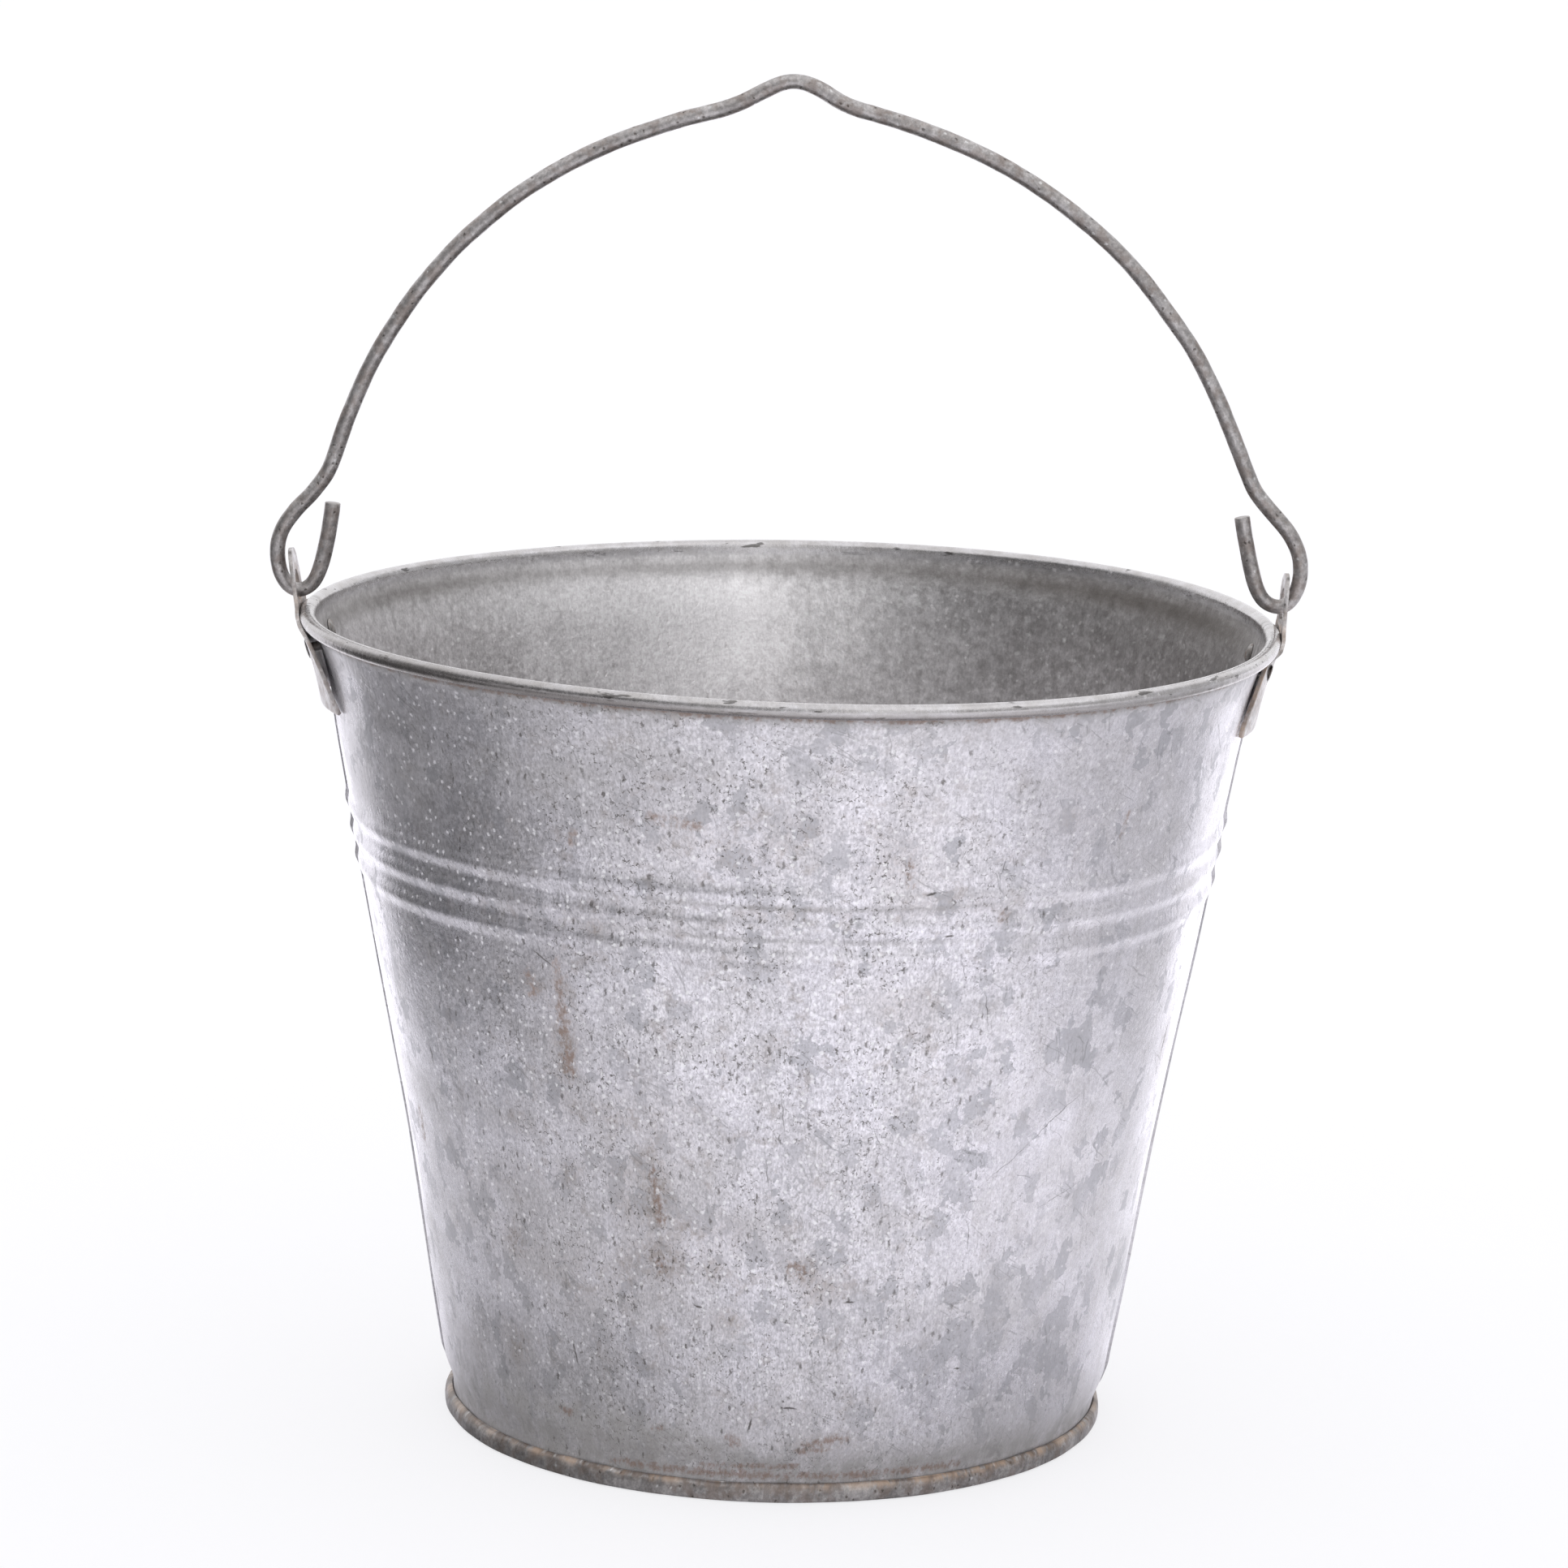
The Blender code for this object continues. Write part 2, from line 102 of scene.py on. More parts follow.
# how the finished pail is out of true
RIM_OVAL, RIM_SKEW, FOOT_OVAL = 0.9, 2.75, 0.7
RIM_TILT = 0.0029        # rise per mm towards +X


def smooth(t):
    t = np.clip(t, 0.0, 1.0)
    return t * t * (3 - 2 * t)


def bump(x, centre, half):
    """Rounded bump of the given half-width."""
    t = np.clip(np.abs(x - centre) / half, 0, 1)
    return 0.5 + 0.5 * np.cos(PI * t)


def taper_r(z):
    return WALL_R + WALL_SLOPE * z


def flare(z):
    return FLARE * np.clip((z - FLARE_Z) / FLARE_H, 0, 1.15) ** 2


def plain_wall_r(z):
    """Outer radius of the wall without waist, foot or beads."""
    return taper_r(z) + flare(z)


def wall_r(z):
    """Outer radius of the wall at heights z."""
    r = taper_r(z) - WAIST * np.exp(-((z - WAIST_Z) / WAIST_H) ** 2)
    cone = smooth((z - FOOT_Z) / FOOT_H)
    r = FOOT_R * (1 - cone) + r * cone + flare(z)
    for centre in BEADS:
        r = r + BEAD_RISE * bump(z, centre, BEAD_HALF)
    return r


# dents: (phi degrees, z, radius, depth, stretch in height); a negative depth goes inwards
DENTS = [
    (-38, 62, 22, 0.5, 1.2), (22, 96, 30, -0.45, 1.0), (44, 52, 18, 0.4, 1.0),
    (-3.4, 205, 1.9, -1.25, 3.4), (-1.2, 205, 1.6, 0.85, 3.2), (2.6, 206, 1.8, -1.1, 3.0),
    (4.6, 205, 1.7, 0.8, 3.0), (15.0, 201, 1.8, -0.7, 2.8), (-20, 222, 22, -0.5, 0.8),
    (30, 150, 24, 0.4, 0.9), (-50, 216, 22, -0.6, 1.0), (118, 80, 26, -0.7, 1.2),
    (150, 140, 34, 0.7, 1.0), (190, 60, 26, -0.9, 1.1), (215, 168, 20, -0.6, 1.0),
    (236, 110, 32, 0.6, 1.2), (172, 214, 18, -0.7, 1.0), (255, 70, 20, -0.5, 1.3),
    (135, 30, 22, 0.4, 0.8)]


def wave(phi, z):
    """Low unevenness of the rolled sheet: four sets of lobes twisting with height."""
    w = 0.20 * np.sin(3 * phi + 0.017 * z + 0.4) * np.sin(0.021 * z + 0.7)
    w += 0.13 * np.sin(7 * phi - 0.031 * z + 1.1) * np.cos(0.033 * z + 0.2)
    w += 0.075 * np.sin(13 * phi + 0.05 * z + 2.0) * np.sin(0.061 * z + 1.9)
    w += 0.05 * np.sin(23 * phi - 0.087 * z) * np.cos(0.094 * z + 0.8)
    return w


def local_push(phi, r, z):
    """Waves and dents of the wall, faded out at the foot, the rim and the bottom plate."""
    push = wave(phi, z)
    for phi0, z0, radius, depth, stretch in DENTS:
        turn = (phi - math.radians(phi0) + PI) % (2 * PI) - PI
        reach = (turn * UNROLL_R) ** 2 + ((z - z0) / stretch) ** 2
        push = push + depth * np.exp(-reach / radius ** 2)
    fade = smooth((z - 6) / 16.0) * (1 - 0.8 * smooth((z - 228) / 14.0))
    fade = fade * smooth((r - 70.0) / 20.0)
    # leave the ears' seat true
    off_seam = np.minimum(np.abs(np.abs(phi) - PI / 2) * 130.0 / 34.0, 1.0)
    keep = np.where(z > 215, smooth(off_seam), 1.0)
    return push * fade * keep


def warp(points, local=True):
    """Out-of-round rim and foot, a tilted rim and, if local, the wall's unevenness."""
    points = np.array(points, float)
    x, y, z = points[..., 0], points[..., 1], points[..., 2]
    r = np.hypot(x, y) + 1e-9
    phi = np.arctan2(x, -y)
    up = np.clip(z / RIM_Z, 0, 1.04)
    skew = np.sin(phi) + np.sin(3 * phi)
    dr = up * (RIM_OVAL * (1 + np.cos(2 * phi)) + RIM_SKEW * skew)
    dr = dr - FOOT_OVAL * np.sin(2 * phi) * (1 - up) ** 2
    if local:
        dr = dr + local_push(phi, r, z)
    k = (r + dr) / r
    above_foot = smooth(z / 14.0)
    out = points.copy()
    # the wall leans from +X at the foot to -X at the rim; the ring's underside stays put
    out[..., 0] = x * k + (1.2 - 2.2 * up) * above_foot + 0.3 * (1 - above_foot)
    out[..., 1] = y * k
    out[..., 2] = z + up * RIM_TILT * x
    return out


# =====================================================================
# mesh helpers
# =====================================================================
def link(name, mesh):
    ob = bpy.data.objects.new(name, mesh)
    bpy.context.scene.collection.objects.link(ob)
    return ob


def add_mesh(name, verts_mm, faces, uv, sharp):
    """Smooth-shaded object with one UV per vertex; edges over `sharp` degrees stay sharp."""
    mesh = bpy.data.meshes.new(name)
    verts = np.asarray(verts_mm, np.float64).reshape(-1, 3) * MM
    mesh.from_pydata(verts.tolist(), [], faces)
    mesh.validate(verbose=False)
    layer = mesh.uv_layers.new(name="UVMap")
    idx = np.zeros(len(mesh.loops), np.int32)
    mesh.loops.foreach_get("vertex_index", idx)
    layer.data.foreach_set("uv", np.asarray(uv, np.float32).reshape(-1, 2)[idx].ravel())
    ob = link(name, mesh)
    bm = bmesh.new()
    bm.from_mesh(mesh)
    bmesh.ops.recalc_face_normals(bm, faces=bm.faces[:])
    bm.to_mesh(mesh)
    bm.free()
    mesh.shade_smooth()
    mesh.set_sharp_from_angle(angle=math.radians(sharp))
    return ob


def add_attr(ob, name, values):
    attr = ob.data.attributes.new(name, 'FLOAT', 'POINT')
    attr.data.foreach_set("value", np.asarray(values, np.float32).ravel())


def coords_mm(mesh):
    co = np.zeros(len(mesh.vertices) * 3)
    mesh.vertices.foreach_get("co", co)
    return co.reshape(-1, 3) / MM


def grid_faces(rows, cols, close_rows=False, close_cols=True):
    faces = []
    for i in range(rows if close_rows else rows - 1):
        a = i * cols
        b = ((i + 1) % rows) * cols
        for j in range(cols if close_cols else cols - 1):
            k = (j + 1) % cols
            faces.append((a + j, b + j, b + k, a + k))
    return faces


# =====================================================================
# marks carried by the wall as attributes
# =====================================================================
# soft patches: (phi degrees, z, half-width degrees, half-height mm, strength)
FLAKES = [
    (47, 155, 4, 9, 0.95), (43, 139, 4, 8, 1.0), (38, 120, 4, 6, 0.7), (29, 108, 5, 6, 1.0),
    (26, 100, 3, 4, 0.7), (22, 88, 4, 4, 0.8), (18, 76, 4, 5, 0.5), (22, 47, 7, 6, 1.0),
    (33, 52, 6, 8, 0.85), (42, 62, 6, 9, 0.95), (37, 72, 4, 5, 0.8), (54, 90, 4, 10, 0.8),
    (56, 112, 4, 8, 0.6), (33, 34, 10, 6, 0.7), (8, 62, 7, 6, 0.5), (2, 80, 5, 4, 0.4),
    (54, 40, 7, 12, 0.8), (51, 90, 3, 6, 0.7), (20.8, 65.3, 3, 4, 0.8),
    (28.8, 66.3, 3, 4, 0.8), (28.1, 39.8, 5, 5, 0.7), (46, 36, 6, 9, 0.7),
    (-150, 120, 16, 30, 0.8), (150, 80, 22, 30, 0.9), (176, 170, 20, 16, 0.6),
    (110, 150, 14, 30, 0.6)]
BROWN = [
    (-44.2, 72.3, 2.6, 5.5, 0.9), (-32.3, 98.6, 2.0, 5.0, 0.75), (-23.2, 102.6, 2.6, 3.6, 0.5),
    (-46.3, 38.3, 3.0, 6.0, 0.9), (-7.1, 58.3, 2.6, 3.4, 0.7), (-40.2, 111.6, 2.2, 4.0, 0.7),
    (-17.6, 94.3, 2.0, 7.0, 0.9), (-17.4, 74.3, 1.6, 3.4, 1.0), (-13.4, 86.6, 1.7, 2.6, 0.8),
    (-9.6, 74.6, 1.6, 2.8, 0.8), (-17.8, 51.3, 1.3, 5.0, 0.7), (-22.7, 90.3, 3.0, 6.0, 0.6),
    (-24.8, 177.2, 1.2, 2.6, 0.8), (-13.2, 178.4, 1.0, 2.2, 0.8), (-7.8, 141.9, 0.9, 1.6, 0.8),
    (-9.3, 157.4, 1.6, 0.8, 0.6), (35.6, 213.2, 2.4, 4.0, 0.5), (6.9, 69.1, 3.2, 4.4, 0.7),
    (3.7, 74.1, 1.6, 2.4, 0.9), (17.6, 216.5, 1.0, 1.6, 0.7), (-14.4, 226.0, 2.0, 1.0, 0.9),
    (-31, 144, 2.2, 22, 0.7), (-30.6, 136, 1.6, 9, 0.6), (-35.6, 157, 2.0, 5, 0.6),
    (-18, 100, 2.0, 13, 0.8), (-17.5, 76, 5, 6, 0.8), (3, 76, 3.0, 4, 0.5),
    (-9, 86, 8, 9, 0.35), (-30, 66, 12, 10, 0.45), (-14, 210, 6, 8, 0.35),
    (0, 212, 6, 10, 0.35), (-6.5, 204, 4, 6, 0.4), (14, 203, 3.5, 9, 0.45),
    (-28, 180, 10, 4, 0.3), (20, 190, 8, 4, 0.35), (-2, 28, 8, 4, 0.3), (8, 19, 7, 4, 0.6),
    (-69.6, 97, 2, 6, 0.8), (69.6, 131, 1.5, 7, 0.5), (-20, 120, 10, 14, 0.25),
    (15, 160, 5, 8, 0.3), (-45, 90, 8, 12, 0.2), (-120, 90, 3, 40, 0.5),
    (-160, 60, 8, 16, 0.5), (165, 200, 9, 14, 0.4), (130, 60, 4, 30, 0.45),
    (100, 190, 5, 24, 0.35), (-100, 200, 5, 26, 0.4), (180, 110, 7, 18, 0.35)]
# dark marks on the outside: dirt, and painted shade in the lines along the beads' lower flanks,
# the contact line under the rim curl and the darkened underside of the front-left rim
SHADE_AND_GRIME = [
    (-4, 188.6, 20, 0.8, 0.60), (-4, 178.7, 22, 0.8, 0.45), (-14, 194.6, 14, 1.0, 0.35),
    (22, 189.4, 14, 0.8, 0.35), (24, 178.4, 14, 0.8, 0.25), (-38, 14, 26, 8, 0.50),
    (-44, 30, 22, 14, 0.14), (40, 24, 20, 12, 0.22), (40, 52, 20, 16, 0.10),
    (-94.1, 249, 0.6, 4, 1.0), (94.1, 249, 0.6, 4, 1.0), (-50, 248.5, 24, 2.8, 1.0),
    (-30, 52, 34, 16, 0.14), (42, 70, 16, 22, 0.14), (-18, 247.6, 16, 1.6, 0.5),
    (40, 247.4, 60, 1.2, 0.35), (-73, 206, 6, 34, 0.30), (0, 5.0, 400, 8.0, 0.85),
    (0, 14, 400, 10.0, 0.16), (0, 246.2, 400, 1.7, 1.0), (0, 242, 400, 4.0, 0.28),
    (-25, 12, 24, 10, 0.35), (25, 10, 30, 7, 0.35), (-20, 228, 30, 12, 0.35),
    (-58, 214, 9, 20, 0.4), (-35, 70, 16, 26, 0.3), (-20, 106, 14, 26, 0.25),
    (-30, 222, 16, 14, 0.3), (5, 100, 16, 22, 0.12), (-90, 235, 14, 14, 0.8),
    (90, 235, 14, 14, 0.8), (-90, 120, 4, 120, 0.3), (90, 120, 4, 120, 0.3),
    (150, 60, 30, 30, 0.3), (-150, 40, 30, 22, 0.35), (-64, 26, 10, 16, 0.35),
    (66, 18, 12, 10, 0.3), (-38, 17, 24, 17, 0.55), (-14, 20, 16, 12, 0.25)]
COARSE = [
    (-20, 130, 34, 200, 0.85), (14, 110, 20, 120, 0.35), (8, 190, 26, 50, 0.4),
    (60, 110, 14, 200, -0.15), (-70, 120, 10, 200, -0.25), (160, 90, 30, 80, 0.7),
    (220, 150, 40, 90, 0.6), (120, 180, 24, 60, 0.35)]
# painted lighter (negative) and darker areas of the inside: reflected light and shade of the
# surroundings
INNER_LIGHT_AND_SHADE = [
    (190, 222, 9, 30, -1.0), (204, 225, 10, 30, -0.85), (217, 228, 9, 26, -0.45),
    (174, 222, 9, 24, -0.20), (154, 225, 16, 34, 0.10), (132, 225, 20, 40, 0.32),
    (108, 225, 18, 44, 0.62), (240, 225, 16, 40, -0.15)]
# shaded groove where the inside turns out into the curl
GROOVE = [
    (180, 243.0, 26, 3.2, 0.50), (140, 242.5, 26, 4.2, 0.75), (108, 242.0, 24, 5.5, 0.62),
    (212, 243.0, 20, 3.0, 0.40), (238, 243.0, 16, 3.4, 0.60), (265, 243.0, 20, 4.0, 0.55),
    (122, 232, 24, 10, 0.35), (0, 243, 60, 3.0, 0.4)]
# brown runs and spots: (phi0, z0, phi1, z1, width mm)
RUST_MARKS = [
    (-88, 246.0, 88, 246.0, 0.9), (-28, 8.0, 34, 8.2, 1.3), (-12, 10.5, 4, 11.5, 1.0),
    (14.8, 203, 15.2, 196, 1.2), (-38.0, 21.4, -35.4, 20.8, 1.2),
    (-16.4, 213.5, -10.4, 212.0, 1.5), (-6.2, 20.0, -6.7, 19.0, 1.5),
    (44.5, 212, 44.0, 205, 1.0), (-20.0, 21.0, -18.0, 21.5, 0.9),
    (-31.0, 165, -30.8, 150, 1.7), (-30.8, 150, -30.4, 131, 2.5), (-18.4, 104, -18.0, 99, 1.1),
    (-35.7, 160, -35.5, 154, 2.0), (2.2, 76.5, 4.0, 74.8, 1.8), (-6.9, 20.4, -5.9, 18.8, 2.0),
    (-17.5, 75.6, -17.3, 73.0, 1.6), (-17.8, 97, -17.2, 88, 1.6), (5.0, 19.0, 12.0, 21.2, 1.3),
    (4.0, 16.6, 9.0, 17.6, 1.2), (-69.7, 101, -69.5, 93, 1.5), (27.4, 184, 27.7, 186, 1.5),
    (-27.2, 203, -27.0, 206, 1.4), (240, 130, 240.4, 92, 1.6), (131, 84, 131.3, 52, 1.8),
    (200, 180, 200.5, 168, 1.6), (162, 60, 165, 57, 2.4), (178, 18, 190, 20, 1.6),
    (218, 74, 221, 72, 2.6)]
STROKE_DEGREE = 2.18     # mm of sheet per degree, for the runs


def soft_strokes(marks, deg, z):
    """Soft lines on the wall, 1 on the line and falling off over the width."""
    out = np.zeros(np.broadcast(deg, z).shape)
    for deg0, z0, deg1, z1, width in marks:
        du = ((deg - deg0 + 180) % 360 - 180) * STROKE_DEGREE
        dv = z - z0
        run_u, run_v = (deg1 - deg0) * STROKE_DEGREE, z1 - z0
        along = (du * run_u + dv * run_v) / (run_u * run_u + run_v * run_v + 1e-9)
        along = np.clip(along, 0, 1)
        dist = np.hypot(du - along * run_u, dv - along * run_v)
        out = np.maximum(out, np.exp(-(dist / (1.05 * width)) ** 2))
    return out


def soft_marks(marks, deg, z):
    out = np.zeros(np.broadcast(deg, z).shape)
    for deg0, z0, half_w, half_h, strength in marks:
        turn = (deg - deg0 + 180) % 360 - 180
        out = out + strength * np.exp(-(turn / half_w) ** 2 - ((z - z0) / half_h) ** 2)
    return np.clip(out, -1.0, 1.0)


def add_wall_attrs(ob, deg, z, inside, rim):
    outside = 1 - inside
    groove = np.clip(soft_marks(GROOVE, deg, z), 0, 1)
    grime = np.clip(soft_marks(SHADE_AND_GRIME, deg, z), 0, 1) * outside
    # the darkening attribute holds the groove's painted shade inside and dirt with painted shade
    # outside
    for name, values in (
            ("inside", inside),
            ("rim", rim),
            ("flake", soft_marks(FLAKES, deg, z) * outside),
            ("brown", soft_marks(BROWN, deg, z) * outside),
            ("grime", np.where(inside > 0.5, groove, grime)),
            ("coarse", np.clip(0.25 + soft_marks(COARSE, deg, z), 0.2, 1.0)),
            ("rust", soft_strokes(RUST_MARKS, deg, z) * outside),
            ("inner_tone", soft_marks(INNER_LIGHT_AND_SHADE, deg, z) * inside)):
        add_attr(ob, name, values)


# =====================================================================
# body halves
# =====================================================================
def body_profile():
    """Paired (r, z) points of the sheet's outer and inner face, bottom to curl end."""
    # (start, end, count): close rows at the foot and over the beads
    spans = [(1.4, 8.0, 5), (9.0, 24.0, 16), (25.5, 168.0, 92), (169.0, 200.0, 94),
             (202.0, 224.0, 12), (225.5, 246.0, 16)]
    zs = np.concatenate([np.linspace(*span) for span in spans])
    rs = wall_r(zs)
    slope = np.gradient(rs, zs)
    length = np.sqrt(1 + slope ** 2)
    outer = list(zip(rs, zs))
    inner = list(zip(rs - SHEET / length, zs + SHEET * slope / length))
    inner[0] = (rs[0] - SHEET, zs[0])
    for a in np.radians(np.linspace(176.0, -136.0, CURL_STEPS)):
        # the sheet closes on the wire a little towards its end
        shrink = 0.10 * smooth((math.radians(-60) - a) / 1.2)
        for face, radius in ((outer, CURL_R - SHEET), (inner, CURL_R)):
            face.append((CURL_C + radius * math.cos(a), RIM_Z + (radius - shrink) * math.sin(a)))
    return np.array(outer), np.array(inner)


def body_columns():
    """Columns across one half: (degrees from its middle, offset mm, seam rise).

    A rise below 0 is the rolled nose of the overlapping edge."""
    cols = [(-90.0, t, 0.0) for t in (4.15, 5.0, 6.5)]
    cols += [(a, 0.0, 0.0) for a in np.linspace(-86.0, 86.0, 262)]
    cols += [(90.0, t, 0.0) for t in (-6.6, -5.4)]
    cols += [(90.0, t, float(smooth((t + 4.9) / 0.9))) for t in np.linspace(-4.9, -4.0, 5)]
    cols += [(90.0, t, 1.0) for t in (-3.2, -1.6, 0.0, 1.6, SEAM_FLAT)]
    cols += [(90.0, SEAM_FLAT + 1.0 * math.sin(a * PI / 2), -float(a))
             for a in np.linspace(0.2, 1.0, 5)]
    return cols


def body_half(name, centre_deg):
    """One half of the wall.  Its last edge overlaps the other half as a lock seam."""
    outer, inner = body_profile()
    n = len(outer)
    cols = body_columns()
    ring = np.concatenate([outer, inner[::-1]])
    ring_r, ring_z = ring[:, 0], ring[:, 1]
    is_out = np.concatenate([np.ones(n), np.zeros(n)])
    order = np.concatenate([np.arange(n), np.arange(n)[::-1]])
    in_curl = order >= n - CURL_STEPS
    # the lock is full height between the foot ring and the flare
    zone = smooth((ring_z - 8.6) / 2.0) * (1 - smooth((ring_z - 219.5) / 2.5)) * ~in_curl
    verts, uv = [], []
    for angle, offset, rise in cols:
        phi = math.radians(centre_deg + angle) + offset / ring_r
        if rise >= 0:
            up = rise * SEAM_RISE * zone
        else:
            up = zone * (SEAM_RISE - (1 - math.cos(-rise * PI / 2)) * SEAM_NOSE)
        r = ring_r + np.where(is_out > 0, up, 0.0)
        # the curl swells beside each ear and drops back just behind it
        away = np.abs((np.degrees(phi) + 180) % 360 - 180)
        swell = 0.11 * smooth((93.7 - away) / 0.6) * smooth((away - 82.0) / 8.0)
        swell = np.where(in_curl, swell, 0.0)
        r = r + (r - CURL_C) * swell
        z = ring_z + (ring_z - RIM_Z) * swell
        verts.append(np.stack([r * np.sin(phi), -r * np.cos(phi), z], -1))
        uv.append(np.stack([phi * UNROLL, ring_z * MM + (1 - is_out) * 0.6], -1))
    uv = np.array(uv)
    rows, around = len(cols), 2 * n
    faces = grid_faces(rows, around)
    for base in (0, (rows - 1) * around):       # close both ends of the sheet
        for j in range(n - 1):
            faces.append((base + j, base + j + 1,
                          base + around - 2 - j, base + around - 1 - j))
    ob = add_mesh(name, warp(np.array(verts)), faces, uv, sharp=55.0)
    shape = (rows, around)
    deg = (np.degrees(uv[..., 0] / UNROLL) + 180) % 360 - 180
    add_wall_attrs(ob, deg, np.broadcast_to(ring_z, shape),
                   inside=np.broadcast_to(((is_out < 0.5) & ~in_curl).astype(float), shape),
                   rim=np.broadcast_to(in_curl.astype(float), shape))
    return ob


# =====================================================================
# turned parts: foot ring, bottom, rim wire
# =====================================================================
# corners of the foot ring's section: (r, z)
FOOT_CORNERS = [
    (102.0, 0.0), (102.6, 0.45), (102.8, 1.8), (102.7, 3.4), (102.3, 4.7), (101.6, 5.45),
    (100.75, 5.7), (100.75, 5.0), (101.1, 4.4), (101.1, 1.0), (99.1, 1.0), (99.1, 5.0),
    (98.3, 5.0), (98.3, 0.0)]
# section of the bottom plate with its turned-down edge: (r, z)
PLATE_LINE = [
    (0.02, 10.8), (30.0, 10.75), (60.0, 10.8), (80.0, 10.85), (83.5, 10.7), (86.0, 9.9),
    (88.0, 9.65), (92.0, 9.6), (97.2, 9.6), (98.6, 9.45), (99.5, 8.9), (99.85, 8.0),
    (99.9, 6.0), (99.9, 1.5), (99.3, 1.4), (99.28, 6.0), (99.2, 7.9), (98.8, 8.6),
    (98.0, 8.95), (97.0, 9.0), (92.0, 9.0), (87.8, 9.05), (85.6, 9.3), (83.2, 10.1),
    (80.0, 10.22), (60.0, 10.2), (30.0, 10.15), (0.02, 10.2)]


def turned(name, profile, steps, rough=None):
    """Closed (r, z) profile swept round the axis; rough(profile, phi) disturbs it."""
    profile = np.array(profile, float)
    n = len(profile)
    verts, uv = [], []
    for i in range(steps):
        phi = 2 * PI * i / steps
        p = rough(profile.copy(), phi) if rough else profile
        verts.append(np.stack([p[:, 0] * math.sin(phi), -p[:, 0] * math.cos(phi), p[:, 1]], -1))
        uv.append(np.stack([np.full(n, phi * UNROLL), p[:, 1] * MM + p[:, 0] * 0.0001], -1))
    return add_mesh(name, warp(np.array(verts), local=False),
                    grid_faces(steps, n, close_rows=True), np.array(uv), sharp=40.0)


def rounded(points, radius, steps):
    """Round the corners of a closed profile of (r, z) points."""
    out = []
    n = len(points)
    for i in range(n):
        p = np.array(points[i], float)
        before = np.array(points[i - 1], float) - p
        after = np.array(points[(i + 1) % n], float) - p
        len_before, len_after = np.linalg.norm(before), np.linalg.norm(after)
        r = min(radius, 0.45 * len_before, 0.45 * len_after)
        start = p + before / len_before * r
        end = p + after / len_after * r
        for k in range(steps + 1):
            t = k / steps
            out.append(tuple((1 - t) ** 2 * start + 2 * t * (1 - t) * p + t * t * end))
    return out


def foot_rough(p, phi):
    """Wavy upper edge and outer face of the foot ring."""
    outside = p[:, 0] > 100.9
    wobble = (0.10 * math.sin(9 * phi + 0.5) + 0.07 * math.sin(21 * phi + 1.4)
              + 0.04 * math.sin(47 * phi))
    top = np.clip((p[:, 1] - 3.0) / 2.5, 0, 1) * outside
    p[:, 1] += top * wobble * 1.6
    bulge = 0.10 * math.sin(13 * phi + 2.0) + 0.05 * math.sin(31 * phi)
    p[:, 0] += np.where(outside, bulge, 0.0)
    return p


def plate_rough(p, phi):
    """Slow waves in the flat of the bottom, growing towards the centre."""
    k = np.clip(1 - p[:, 0] / 86.0, 0, 1)
    p[:, 1] += (0.35 * k * np.sin(3 * phi + p[:, 0] * 0.05)
                + 0.2 * k * np.cos(5 * phi - 0.07 * p[:, 0]))
    return p


def make_rim_wire():
    section = [(CURL_C + RIM_WIRE_R * math.cos(a), RIM_Z + RIM_WIRE_R * math.sin(a))
               for a in np.linspace(0, 2 * PI, 13)[:-1]]
    return turned("rim_core", section, 240)


# =====================================================================
# ears
# =====================================================================
EAR_T = 1.15
EAR_TOP = 267.9
EAR_BEND = 251.0                    # above this the plate leans outwards as a flat tab
EAR_LEAN = {1: math.radians(3.0), -1: math.radians(8.8)}      # by side: right 1, left -1
EAR_HOLE = {1: (6.9, 256.4), -1: (5.1, 256.3)}                # radius, z
# half-width of the plate: (z, half-width)
EAR_W = [
    (EAR_TOP, 0.0), (267.8, 2.0), (267.2, 4.1), (266.2, 5.7), (264.6, 7.1), (262.4, 8.1),
    (259.5, 8.7), (256.0, 9.2), (252.8, 10.8), (250.6, 12.8), (249.0, 13.8), (247.4, 15.6),
    (246.2, 20.5), (245.0, 26.2), (243.4, 29.4), (239.5, 31.8), (235.4, 33.6), (229.0, 35.8),
    (225.2, 37.0), (224.2, 37.0), (223.5, 36.2)]
# inner radius along the middle of the plate: (z, r)
EAR_IN = [
    (EAR_BEND, 150.40), (249.0, 150.40), (246.5, 149.7), (243.2, 147.9), (235.4, 145.2),
    (225.4, 142.9), (223.5, 142.5)]
EAR_R = EAR_IN[0][1]
EAR_COLS = 56


def table(rows, z):
    zs = np.array([a for a, _ in rows][::-1])
    values = np.array([b for _, b in rows][::-1])
    return float(np.interp(z, zs, values))


def soft_table(rows, z, w):
    return (table(rows, z - w) + 2 * table(rows, z) + table(rows, z + w)) / 4


def ear_inner(z, y, half_w, side):
    """Radius of the ear's inner face."""
    if z >= EAR_BEND:
        return EAR_R + (z - EAR_BEND) * math.tan(EAR_LEAN[side])
    mid = soft_table(EAR_IN, z, 0.7)
    # both wings lie on the wall: tucked under the curl above, closing on the sheet below
    if side < 0:
        gap = 0.2 + 2.9 * max(0.0, (z - 223.5) / 20.0) ** 0.6
    else:
        gap = 0.15 + 0.75 * float(smooth((z - 224.0) / 12.0))
    edge = min(plain_wall_r(z) + gap, mid)
    below_curl = float(smooth((247.2 - z) / 3.0))
    low = min(1.0, abs(y) / max(half_w, 1e-3)) ** 2.2
    high = float(smooth((abs(y) - 8.0) / 13.0))
    k = float(smooth((z - 236.0) / 7.0))
    return mid + (edge - mid) * below_curl * (low * (1 - k) + high * k)


